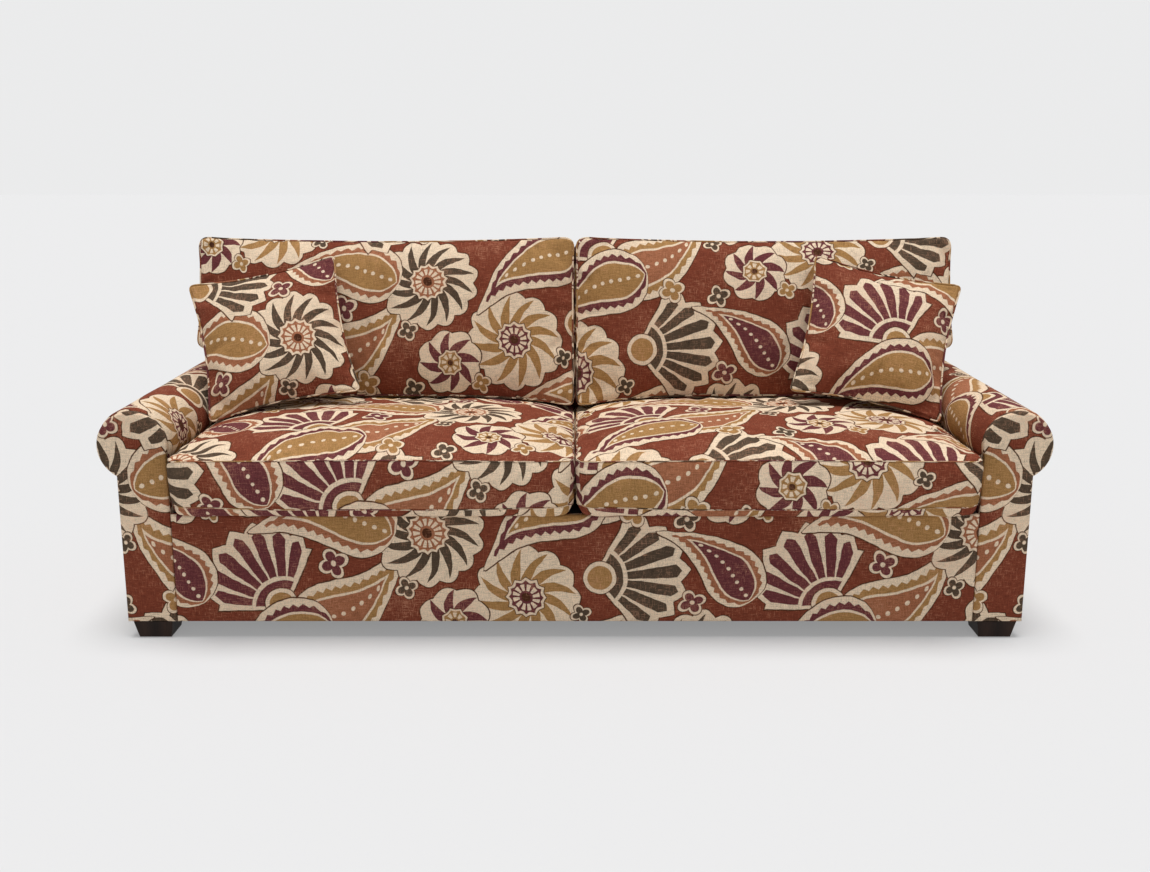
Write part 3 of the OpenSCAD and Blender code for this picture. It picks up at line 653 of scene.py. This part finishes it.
def backShape(s, seed):
    x0, x1, x2 = s["x"]
    z0, z1, z2 = s["low"], s["low"] + s["ear"], s["low"] + s["high"]
    rake = sofa["rake"]

    def shape(plan, real, level, zone, out):
        a, b = (plan[:, 0] - x0) / (x2 - x0), (plan[:, 1] - z0) / (z2 - z0)
        x, h = real[:, 0].copy(), real[:, 1].copy()
        h -= s["drawn"] * hump(clamp(a)) ** 0.8 * b ** 3
        aside = clamp(abs(plan[:, 0] * 2 - x0 - x1) / (x1 - x0)) ** 3 * (plan[:, 0] <= x1)
        share = np.where(zone == 0, np.where(level < 0.5, level * 0.5, level * 1.5 - 0.5), (zone + 1) / 2)
        h -= s["hang"] * aside * share * clamp(1 - (plan[:, 1] - z0) / s["ear"])
        ear = clamp((plan[:, 1] - z1) / (z2 - z1))
        x -= s["waist"] * hump(ear) * clamp(a) ** 6
        notchX = np.clip(x1 - plan[:, 0], 0, None)
        notchZ = np.clip(plan[:, 1] - z1, 0, None)
        away = clamp(np.hypot(notchX, notchZ) / s["notch"])
        notch = (1 - (1 - away) ** 3) ** 0.75
        soft = uneven(plan, 5, seed) * s["soft"]
        full = dome(a * 2 - 1, b * 2 - 1) * notch
        front = s["box"] + s["crown"] * full + soft * full
        edge = np.minimum.reduce([plan[:, 0] - x0, x2 - plan[:, 0], plan[:, 1] - z0, z2 - plan[:, 1],
                                  np.where(plan[:, 1] < z1, x1 - plan[:, 0], 9),
                                  np.where(plan[:, 0] > x1, plan[:, 1] - z1, 9)])
        inward = clamp(1 - np.clip(edge, 0, None) / s["roll"])
        rear = 0.0005 + s["round"] * (1 - np.sqrt(1 - inward ** 2))
        side = s["round"] + level * (s["box"] - s["round"])
        w = np.where(zone > 0, front, np.where(zone < 0, rear, side))
        upward = clamp(out[:, 1])
        swell = s["swell"] * hump(level) * np.where(zone == 0, np.maximum(upward, 0.15), 0)
        x += out[:, 0] * swell
        h += out[:, 1] * swell
        return np.stack([x, sofa["deckY"] - w * math.cos(rake) + h * math.sin(rake),
                         sofa["deckZ"] + w * math.sin(rake) + h * math.cos(rake)], 1)

    return shape


def makeBack(s, side):
    seed, cut = s[side]
    x0, x1, x2 = s["x"]
    z0, z1, z2 = s["low"], s["low"] + s["ear"], s["low"] + s["high"]
    r, low = s["corner"], s["lowCorner"]
    xs = evenSteps([x0, x0 + low, x0 + r, x1 - r, x1 - low, x1, x2 - r, x2], s["step"])
    zs = evenSteps([z0, z0 + low, z1, z1 + r, z2 - r, z2], s["step"])
    flat, quads, ring = quadGrid(xs, zs, lambda x, z: x < x1 or z > z1)
    points = roundCorners(flat, [(x2, z1, -1, 1), (x2, z2, -1, -1), (x0, z2, 1, -1)], r)
    points = roundCorners(points, [(x0, z0, 1, 1), (x1, z0, -1, 1)], low)
    return shellMesh("back_%s_cover" % side, points, flat, quads, ring, s["rows"], s["box"] - s["round"],
                     backShape(s, seed), side == "left", cut)


# Scatter cushions

scatterCushion = {
    "half": 0.210, "thick": 0.124, "edge": 0.005, "drawn": 0.020, "lean": math.radians(30),
    "turn": math.radians(13), "x": 0.845, "y": 0.025, "corner": 0.016, "soft": 0.05,
    "up": 0.0025,  # room for the cord under its lowest corner
    "step": 0.0105, "seams": 1, "piping": 0.0026, "proud": 0.002, "fill": 0.6,
    "left": (3.3, (0.50, 0.30)), "right": (8.8, (0.15, 0.10)),
}


def scatterShape(s, seed, lift):
    h = s["half"]
    lean, turn = s["lean"], s["turn"]

    def shape(plan, real, level, zone, out):
        a, b = plan[:, 0] / h, plan[:, 1] / h
        x = real[:, 0] - s["drawn"] * a * np.sin(np.pi * (b + 1) / 2) * abs(a)
        y = real[:, 1] - s["drawn"] * b * np.sin(np.pi * (a + 1) / 2) * abs(b)
        swell = (s["thick"] - s["edge"]) / 2 * dome(a, b, 2.2, 0.62)
        soft = uneven(plan, 9, seed) * s["soft"]
        w = zone * (s["edge"] / 2 + swell * (1 + soft))
        px = x * math.cos(turn) + y * math.sin(turn)
        pz = y * math.cos(turn) - x * math.sin(turn)
        return np.stack([px + s["x"], -w * math.cos(lean) + pz * math.sin(lean) + s["y"],
                         w * math.sin(lean) + pz * math.cos(lean) + lift], 1)

    return shape


def makeScatter(s, side):
    seed, cut = s[side]
    h, r = s["half"], s["corner"]
    steps = evenSteps([-h, -h + r, h - r, h], s["step"])
    flat, quads, ring = quadGrid(steps, steps, lambda x, y: True)
    points = roundCorners(flat, [(-h, -h, 1, 1), (h, -h, -1, 1), (h, h, -1, -1), (-h, h, 1, -1)], r)
    trial = scatterShape(s, seed, 0.0)(flat, points, np.zeros(len(flat)), -np.ones(len(flat)), None)
    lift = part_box("scatter_cushion_" + side)[0].z - trial[:, 2].min() + s["up"]
    return shellMesh("scatter_%s_cover" % side, points, flat, quads, ring, 1, s["edge"],
                     scatterShape(s, seed, lift), side == "left", cut)


madeCushions = []
for kind, make, s in (("seat", makeSeat, seatCushion), ("back", makeBack, backCushion),
                      ("scatter", makeScatter, scatterCushion)):
    for side in ("left", "right"):
        piece, seams = make(s, side)
        madeCushions.append((kind, side, s, piece, seams))
print("cushion covers cut")

creases([made[3] for made in madeCushions], puffing)

for kind, side, s, piece, seams in madeCushions:
    body, node = "%s_%s" % (kind, side), "%s_cushion_%s" % (kind, side)
    subdivide(piece, 1)
    addPiping(piece, seams[:s["seams"]], s["piping"], s["proud"])
    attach(piece, body)
    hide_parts(node)
print("cushions finished")


# Padded panels of the frame. Each is drawn flat and then laid in its place.

panels = {
    "edge": 0.005,  # radius of a panel's sewn edge
    "puff": 0.0016,  # how far the padding stands up away from the edge
    "ripple": 0.0007,
    "soften": 0.03,  # how far in from the edge it stands up
    "step": 0.022,
    "border": 0.018, "padded": 0.014, "thin": 0.008,  # thicknesses
    "outArmZ": 0.436, "inArmZ": (0.316, 0.476),
    "inX": 1.024, "outX": 1.151, "wingX": 1.078, "wingZ": 0.605, "capZ": 0.866, "topZ": 0.880,
    "inBackX": 1.0157, "outBackX": 1.0197, "boardY": -0.412, "rearY": 0.472,
}


def fineSteps(stops, r, step):  # small steps near each stop, where the edge is round
    out = [stops[0]]
    for a, b in zip(stops, stops[1:]):
        near = [d for d in (r * 0.1, r * 0.35, r * 0.7, r * 1.1, r * 2.2) if d < (b - a) * 0.3]
        n = max(1, round((b - a - 2 * near[-1]) / step)) if near else 1
        start, end = (a + near[-1], b - near[-1]) if near else (a, b)
        out += [a + d for d in near] + [start + (end - start) * k / n for k in range(1, n)]
        out += [b - d for d in reversed(near)] + [b]
    return out


def edgeDistance(points, outline):
    best = np.full(len(points), 9.0)
    for a, b in zip(outline, np.roll(outline, -1, 0)):
        along = b - a
        t = clamp(((points - a) @ along) / (along @ along))
        best = np.minimum(best, np.linalg.norm(points - a - t[:, None] * along, axis=1))
    return best


def cover(name, outline, thick, lay, cut, seed=1.0, material=None, **change):
    # outline in the panel's own plane, anticlockwise; lay turns its points and heights into places
    s = {**panels, **change}
    outline = np.array(outline)
    xs = fineSteps(sorted(set(outline[:, 0].tolist())), s["edge"], s["step"])
    ys = fineSteps(sorted(set(outline[:, 1].tolist())), s["edge"], s["step"])

    def inside(x, y):
        odd = False
        for (ax, ay), (bx, by) in zip(outline, np.roll(outline, -1, 0)):
            if (ay > y) != (by > y) and x < ax + (y - ay) * (bx - ax) / (by - ay):
                odd = not odd
        return odd

    points, quads, ring = quadGrid(xs, ys, inside)
    r = min(s["edge"], thick * 0.9)

    def shape(plan, real, level, zone, out):
        d = edgeDistance(plan, outline)
        edge = clamp(1 - d / r)
        padding = (s["puff"] + uneven(plan, 6, seed) * s["ripple"]) * (1 - np.exp(-d / s["soften"]))
        high = thick - r * (1 - np.sqrt(1 - edge ** 2)) + padding
        w = np.where(zone > 0, high, np.where(zone < 0, 0, level * (thick - r)))
        return lay(plan[:, 0], plan[:, 1], w)

    return shellMesh(name, points, points, quads, ring, 2, thick, shape, False, cut, material)[0]


def placed(x, y, z):
    return np.stack([x, y, z], 1)


def oblong(x0, x1, y0, y1):
    return [(x0, y0), (x1, y0), (x1, y1), (x0, y1)]


armRoll = {
    "x": 1.108, "z": 0.507, "radius": 0.092, "front": -0.412, "rear": 0.472,
    "around": 72, "along": 44, "soft": 0.0012, "pucker": 0.0012,
    "ends": (  # way in from the facing, and how far the cover is drawn in there
        (0.0, 0.0065), (0.0005, 0.0045), (0.002, 0.0022), (0.005, 0.0007), (0.010, 0.0)),
    "facing": 0.088, "facingThick": 0.018, "facingSoft": 0.0008, "seam": 0.0065, "puff": 0.0026,
    "spine": 0.0635,  # the padding rises towards a line from this height to the scroll's centre
}


def facingOutline():  # the scroll's outline from its lower inner corner, anticlockwise from the front
    x0, x1, z0 = panels["inX"], panels["outX"], sofa["baseZ"]
    c, r = np.array([armRoll["x"], armRoll["z"]]), armRoll["facing"]
    start = -math.acos((x1 - c[0]) / r)
    end = math.pi + math.acos((c[0] - x0) / r)
    zOut, zIn = c[1] + r * math.sin(start), c[1] + r * math.sin(end)
    path = [(x0 + (x1 - x0) * k / 10, z0) for k in range(10)]
    path += [(x1, z0 + (zOut - z0) * k / 26) for k in range(26)]
    turns = [start + (end - start) * k / 64 for k in range(64)]
    path += [(c[0] + r * math.cos(a), c[1] + r * math.sin(a)) for a in turns]
    path += [(x0, zIn + (z0 - zIn) * k / 30) for k in range(30)]
    return np.array(path)


def armFacing(name, side, rear, cut):
    s = armRoll
    outline = facingOutline()
    low = np.array([(panels["inX"] + panels["outX"]) / 2, sofa["baseZ"] + s["spine"]])
    high = np.array([s["x"], s["z"]])
    along = high - low
    t = clamp(((outline - low) @ along) / (along @ along))
    middle = low + t[:, None] * along
    away = middle - outline
    reach = np.linalg.norm(away, axis=1)[:, None]
    r = s["seam"]
    steps = [(0.0, s["facingThick"]), (0.0, s["facingThick"] * 0.5), (0.0, r)]
    steps += [(r * (1 - math.cos(a)), r * (1 - math.sin(a))) for a in (0.35, 0.75, 1.15, 1.5)]
    steps += [(d, -s["puff"] * (1 - math.exp(-d / 0.016))) for d in (0.012, 0.019, 0.028, 0.040)]
    base = sofa["backY"] if rear else sofa["frontY"]
    verts, flat = [], []
    for inset, depth in steps:
        ring = outline + away / reach * np.minimum(inset, reach * 0.9)
        for p, q in zip(ring, outline):
            soft = noise.noise(Vector((p[0] * 9, p[1] * 9, side * 2.0 + rear)))
            soft = soft * s["facingSoft"] * min(1, inset / 0.02)
            y = base - (depth + soft) if rear else base + depth + soft
            verts.append((p[0] * side, y, p[1]))
            onEdge = (q[0] + (q[0] - s["x"]) * depth, q[1] + depth)
            flat.append((p[0], p[1]) if depth < r * 1.01 else onEdge)
    n, faces = len(outline), []
    for k in range(len(steps) - 1):
        for i in range(n):
            j = (i + 1) % n
            faces.append([k * n + i, k * n + j, (k + 1) * n + j, (k + 1) * n + i])
    last = (len(steps) - 1) * n
    faces += [[last + i for i in range(n)], list(reversed(range(n)))]
    cloth = [[flat[c] for c in f] for f in faces]
    return meshPiece(name, verts, faces, cloth, cut, (side < 0) != bool(rear))


def armRollCover(name, side, cut):
    s = armRoll
    around, along, end = s["around"], s["along"], s["ends"][-1][0]
    length = s["rear"] - s["front"]
    rows = [(s["front"] + d, c) for d, c in s["ends"]]
    rows += [(s["front"] + end + (length - 2 * end) * k / along, 0.0) for k in range(1, along)]
    rows += [(s["rear"] - d, c) for d, c in reversed(s["ends"])]
    start = math.radians(-110)  # the cloth is joined under the roll
    verts, faces, cloth = [], [], []
    for y, drawn in rows:
        nearSeam = math.exp(-(y - s["front"]) / 0.03) + math.exp(-(s["rear"] - y) / 0.03)
        for k in range(around):
            a = start + 2 * math.pi * k / around
            c, d = math.cos(a), math.sin(a)
            pucker = noise.noise(Vector((c * 6, d * 6, side * 3.0))) * s["pucker"] * nearSeam
            soft = noise.noise(Vector((c * 1.2, d * 1.2, y * 5 + side * 7.0))) * s["soft"]
            r = s["radius"] - drawn + pucker + soft
            verts.append(((s["x"] + r * c) * side, y, s["z"] + r * d))
    arc = 2 * math.pi * s["radius"] / around
    for i in range(len(rows) - 1):
        for k in range(around):
            j = (k + 1) % around
            faces.append([i * around + k, i * around + j, (i + 1) * around + j, (i + 1) * around + k])
            y0, y1, low, high = rows[i][0], rows[i + 1][0], -k * arc, -(k + 1) * arc
            cloth.append([(y0, low), (y0, high), (y1, high), (y1, low)])
    last = (len(rows) - 1) * around
    for cap in (list(reversed(range(around))), [last + k for k in range(around)]):
        faces.append(cap)
        cloth.append([(verts[c][0], verts[c][2]) for c in cap])
    return meshPiece(name, verts, faces, cloth, cut, side > 0)


def backSide(name, side):  # its front edge follows the rake of the back
    z0, z1 = panels["wingZ"], panels["capZ"]
    rake = math.tan(sofa["rake"])
    wide = sofa["backY"] - sofa["deckY"] - (z0 - sofa["deckZ"]) * rake

    def lay(u, v, w):
        front = sofa["deckY"] + (v - sofa["deckZ"]) * rake
        share = u / wide if side > 0 else 1 - u / wide
        return placed(side * (panels["wingX"] + w), front + share * (sofa["backY"] - front), v)

    cut = (0.4, 0.3)
    piece = cover(name, oblong(0, wide, z0, z1), panels["thin"], lay, cut, 7.0 + side, edge=0.004)
    places, cloth = readVertices(piece.data), piece.data.uv_layers["cloth"].uv
    for loop in piece.data.loops:  # laid on again, so that the slope doesn't squeeze the print
        cloth[loop.index].vector = places[loop.vertex_index][1:] + cut
    return piece


gusset = {"off": 0.0006, "behind": 0.0025, "thick": 0.006, "steps": 14, "cut": (0.2, 0.4)}


def backGusset(side):  # the cloth of the back, tucked in between its step and the arm's scroll
    s, low, wide, top = gusset, panels["outBackX"], panels["wingX"], panels["wingZ"]
    reach, x, z = armRoll["facing"] + s["off"], armRoll["x"], armRoll["z"]
    start, end = math.acos((low - x) / reach), math.acos((wide - x) / reach)
    arc = [start + (end - start) * k / s["steps"] for k in range(s["steps"] + 1)]
    outline = [(x + reach * math.cos(a), z + reach * math.sin(a)) for a in arc] + [(wide, top), (low, top)]
    n, rear = len(outline), sofa["backY"] - s["behind"]
    verts = [(x * side, y, z) for y in (rear - s["thick"], rear) for x, z in outline]
    faces = [list(range(n)), [n + k for k in reversed(range(n))]]
    faces += [[k, k + n, (k + 1) % n + n, (k + 1) % n] for k in range(n)]
    cloth = [[(-verts[c][0], verts[c][2]) for c in f] for f in faces]
    return meshPiece("back_gusset", verts, faces, cloth, s["cut"], side < 0)


def armPanel(name, side, inner, low, high, cut, seed, **change):
    s, thick = panels, panels["padded"]
    y0, y1 = s["boardY"], s["rearY"]

    def lay(u, v, w):
        x = s["inX"] + thick - w if inner else s["outX"] - thick + w
        return placed(side * x, y0 + y1 - u if inner == (side > 0) else u, v)

    return cover(name, oblong(y0, y1, low, high), thick, lay, cut, seed, **change)


def stepped(low, wide, z0, z1, z2):  # the back's outline, narrow between the arms and wide over them
    half = [(low, z0), (low, z1), (wide, z1), (wide, z2)]
    return half + [(-x, z) for x, z in reversed(half)]


def frameCovers():
    s, base, deck, back = panels, sofa["baseZ"], sofa["deckZ"], sofa["backY"]
    sine, cosine = math.sin(sofa["rake"]), math.cos(sofa["rake"])
    x, wide, step, top = s["inX"] - 0.0003, s["wingX"], s["wingZ"], s["capZ"]

    def leaning(u, v, w):
        depth = s["padded"] - w
        return placed(u, sofa["deckY"] + v * sine + depth * cosine, deck + v * cosine - depth * sine)

    border = cover("front_border_cover", oblong(-x, x, base, deck), s["border"],
                   lambda u, v, w: placed(u, s["boardY"] - w, v), (0.25, 0.33), 2.0, edge=0.007)
    inside = cover("inside_back_cover",
                   stepped(s["inBackX"], wide, 0, (step - deck) / cosine, (top - deck) / cosine),
                   s["padded"], leaning, (0.0, 0.1), 3.0, puff=0.0)
    outside = cover("outside_back_cover", stepped(s["outBackX"], wide, base, step, top), s["thin"],
                    lambda u, v, w: placed(-u, back - s["thin"] + w, v), (0.2, 0.4), 4.0, edge=0.004)
    covers = [border, inside, outside]
    for side, word in ((1, "right"), (-1, "left")):
        covers += [
            armPanel("outside_arm_%s_cover" % word, side, False, base, s["outArmZ"],
                     (0.1, 0.2 + side * 0.1), 5.0 + side, edge=0.004),
            armPanel("inside_arm_%s_cover" % word, side, True, *s["inArmZ"],
                     (0.3, 0.1), 6.0 + side, puff=0.0),
            backSide("back_side_%s_cover" % word, side),
            armRollCover("arm_roll_%s_cover" % word, side, (0.42, 0.31 + side * 0.13)),
            armFacing("arm_facing_%s_cover" % word, side, 0, (0.08, 0.21)),
            armFacing("arm_back_facing_%s_cover" % word, side, 1, (0.3, 0.4)),
        ]
    joinTo(outside, [backGusset(-1), backGusset(1)])
    return covers


def capCover():
    x, y1, z0, z1 = panels["wingX"] + 0.008, sofa["backY"], panels["capZ"], panels["topZ"]
    y0 = sofa["deckY"] + (z1 - sofa["deckZ"]) * math.tan(sofa["rake"])
    return cover("back_cap_cover", oblong(-x, x, y0, y1), z1 - z0,
                 lambda u, v, w: placed(u, v, z0 + w), (0.1, 0.5), 9.0, edge=0.011, puff=0.001)


for piece in frameCovers() + [capCover()]:
    node = piece.name.removesuffix("_cover")
    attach(piece, "frame")
    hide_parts(node)
print("frame covers laid")


# Linings: the deck under the seat cushions, the cloth under the frame and the belts behind the back

lining = {
    "thread": 0.0012, "dark": ink(26, 25, 26), "pale": ink(58, 56, 54),
    "sheet": 0.0012,  # thickness of the cloth under the frame
    "sag": 0.005, "ripple": 0.0015, "hem": 0.006, "step": 0.030,
}


def wovenLining(name, upright=False):  # by the frame's own axes on the upright belts
    t = Finish(name)
    u, v = t.place()[::2] if upright else t.cloth()
    pitch = 2 * math.pi / lining["thread"]
    weave = (u * pitch).sin() * (v * pitch).sin()
    slub = t.noise(u * 36, v * 420, 5.0) * 0.5 + t.noise(u * 420, v * 36, 6.0) * 0.5
    colour = t.blend(lining["dark"], lining["pale"], (weave * 0.12 + slub).over(0.36, 0.76))
    bump = t.bump(weave * 0.3 + slub, 0.35, 0.0007)
    return t.surface(colour, slub * 0.2 + 0.75, bump, Specular_IOR_Level=0.15)


def seatDeck(material):
    low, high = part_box("seat_platform")
    return cover("seat_deck_lining", oblong(low.x, high.x, low.y, high.y), high.z - low.z,
                 lambda u, v, w: placed(u, v, low.z + w), (0.0, 0.0), 11.0, material, puff=0.0)


def underLining(material):  # a T-shaped cloth that leaves the feet clear
    s = lining
    (low, high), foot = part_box("dust_cover"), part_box("foot_front_right")
    inner, front = foot[0].x - s["hem"], foot[1].y + s["hem"]
    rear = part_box("foot_back_right")[0].y - s["hem"]
    xs = evenSteps([low.x, -inner, inner, high.x], s["step"])
    ys = evenSteps([low.y, front, rear, high.y], s["step"])
    points, quads, ring = quadGrid(xs, ys, lambda x, y: abs(x) < inner or front < y < rear)
    half = [(inner, low.y), (inner, front), (high.x, front), (high.x, rear), (inner, rear), (inner, high.y)]
    outline = np.array(half + [(-x, y) for x, y in reversed(half)])

    def shape(plan, real, level, zone, out):
        sag = s["sag"] * (1 - np.exp(-edgeDistance(plan, outline) / 0.12))
        top = high.z - 0.0003 - sag - abs(uneven(plan, 7, 5.0) * s["ripple"])
        under = np.where(zone > 0, 0, np.where(zone < 0, 1, 1 - level)) * s["sheet"]
        return placed(plan[:, 0], plan[:, 1], top - under)

    piece = shellMesh("under_lining", points, points, quads, ring, 1, s["sheet"], shape, False,
                      (0, 0), material)[0]
    width, length = high.x - low.x, high.y - low.y
    2 * inner * length + (width - 2 * inner) * (rear - front)
    return piece


liningCloth = wovenLining("black_lining")
deckPiece, underPiece = seatDeck(liningCloth), underLining(liningCloth)
for piece, node in ((deckPiece, "seat_platform"), (underPiece, "dust_cover")):
    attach(piece, "frame")
    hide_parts(node)
print("linings laid")


# Finishes of the timber, the feet, the springs and the fillings

timber = {
    "beech": {"light": ink(208, 178, 138), "dark": ink(172, 133, 92),
              "rough": 0.58, "gloss": 0.5, "grain": 0.25},
    "foot": {"light": ink(46, 31, 24), "dark": ink(24, 15, 11),
             "rough": 0.40, "gloss": 0.15, "grain": 0.12},
}


def wood(name, kind, along):  # along is the number of the axis that the grain follows
    s, t = timber[kind], Finish(name)
    place = t.place()
    run = place.pop(along)
    a, b = place
    drift = t.noise(a * 5, b * 5, run * 0.8)
    rings = ((a + b * 0.7) * 95 + drift * 9).sin() * 0.5 + 0.5
    fibre = t.noise(a * 420, b * 420, run * 14, detail=3.0)
    pores = t.noise(a * 900, b * 900, run * 40, detail=1.0).over(0.60, 0.72)
    figure = rings * 0.35 + fibre * 0.5 + drift * 0.25
    colour = t.blend(s["dark"], s["light"], figure.over(0.25, 0.85))
    colour = t.blend(colour, s["dark"], pores * 0.6)
    height = fibre - pores * 0.8
    return t.surface(colour, fibre * 0.16 + s["rough"], t.bump(height, s["grain"], 0.0006),
                     Specular_IOR_Level=s["gloss"])


def springSteel(name):
    t = Finish(name)
    cloud = t.noise(*t.place(40), detail=3.0)
    colour = t.blend(ink(158, 156, 150), ink(104, 99, 92), cloud.over(0.35, 0.72))
    return t.surface(colour, cloud * 0.25 + 0.26, t.bump(cloud, 0.15, 0.0004), Metallic=1.0)


def foam(name):
    t = Finish(name)
    cells, cloud = t.noise(*t.place(380), detail=3.0), t.noise(*t.place(8))
    colour = t.blend(ink(224, 210, 172), ink(241, 233, 208), cells * 0.6 + cloud * 0.4)
    return t.surface(colour, cells * 0.1 + 0.85, t.bump(cells, 0.5, 0.0015), Specular_IOR_Level=0.1)


def felt(name):
    t = Finish(name)
    fibres = t.noise(*t.place(650), detail=4.0)
    colour = t.blend(ink(84, 74, 64), ink(134, 122, 106), fibres.over(0.3, 0.7))
    return t.surface(colour, fibres * 0.1 + 0.88, t.bump(fibres, 0.6, 0.0012), Specular_IOR_Level=0.05)


def finishNodes():
    beech = [wood("beech_along_%s" % word, "beech", axis) for axis, word in enumerate("xyz")]
    special = {
        "filling": foam("cushion_filling"), "foot_wood": wood("stained_foot", "foot", 2),
        "spring_steel": springSteel("spring_steel"), "black_lining": wovenLining("belt_lining", upright=True),
        "glide_felt": felt("glide_felt"), "frame_cover": clothUv, "cushion_cover": clothUv,
    }
    for part in frame["record"]["subparts"]:
        low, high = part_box(part["node"])
        size = high - low
        longest = max(range(3), key=lambda k: size[k])
        nodes[part["node"]].material_slots[0].material = special.get(part["material_slot"], beech[longest])


finishNodes()
print("frame finished")


# Floor, backdrop and light

studio = {
    "floor": (0.64, 0.64, 0.645, 1.0), "size": 60.0,
    "backdrop": (0.83, 0.832, 0.836, 1.0),
    "lift": 0.32,  # how much of the floor is backdrop; the rest takes the shadow
    "sky": 0.25,  # even light from all round
    "lamps": {  # strength, spread and turn forward from straight above, in degrees
        "overhead": (3.25, 30, 1),
        "front": (0.65, 55, 78),
    },
}


def seenRay(t):  # 1 where the camera, a reflection or a clear piece looks at it
    path = t.node("LightPath")
    outputs = path.socket.node.outputs
    seen = Value(t, outputs["Is Camera Ray"])
    return seen.most(Value(t, outputs["Is Glossy Ray"])).most(Value(t, outputs["Is Transmission Ray"]))


def makeStudio(s):
    t = Finish("studio_floor")
    matt = {"Base Color": s["floor"], "Roughness": 1.0, "Specular IOR Level": 0.0}
    lit, glow = t.node("BsdfPrincipled", {}, matt), t.node("Emission", {}, {0: s["backdrop"], 1: 1.0})
    pale = t.node("MixShader", {}, {0: s["lift"], 1: lit, 2: glow})
    t.node("OutputMaterial", {}, {"Surface": t.node("MixShader", {}, {0: seenRay(t), 1: lit, 2: pale})})
    bpy.ops.mesh.primitive_plane_add(size=s["size"], location=(0, 0, 0))
    floor = bpy.context.active_object
    floor.name = "studio_floor"
    floor.data.materials.append(t.material)
    floor.select_set(False)
    world = bpy.data.worlds.new("studio")
    bpy.context.scene.world = world
    t = Finish("studio", world)
    sky = t.node("Background", {}, {0: (1.0, 1.0, 1.0, 1.0), 1: s["sky"]})
    backdrop = t.node("Background", {}, {0: s["backdrop"], 1: 1.0})
    t.node("OutputWorld", {}, {"Surface": t.node("MixShader", {}, {0: seenRay(t), 1: sky, 2: backdrop})})
    for name, (energy, spread, forward) in s["lamps"].items():
        lamp = bpy.data.lights.new(name, "SUN")
        lamp.energy, lamp.angle = energy, math.radians(spread)
        o = bpy.data.objects.new(name, lamp)
        o.location = (0, -1, 4)
        o.rotation_euler = (math.radians(forward), 0, 0)
        bpy.context.scene.collection.objects.link(o)


makeStudio(studio)
bpy.context.scene.view_settings.view_transform = "Standard"
print("studio lit")
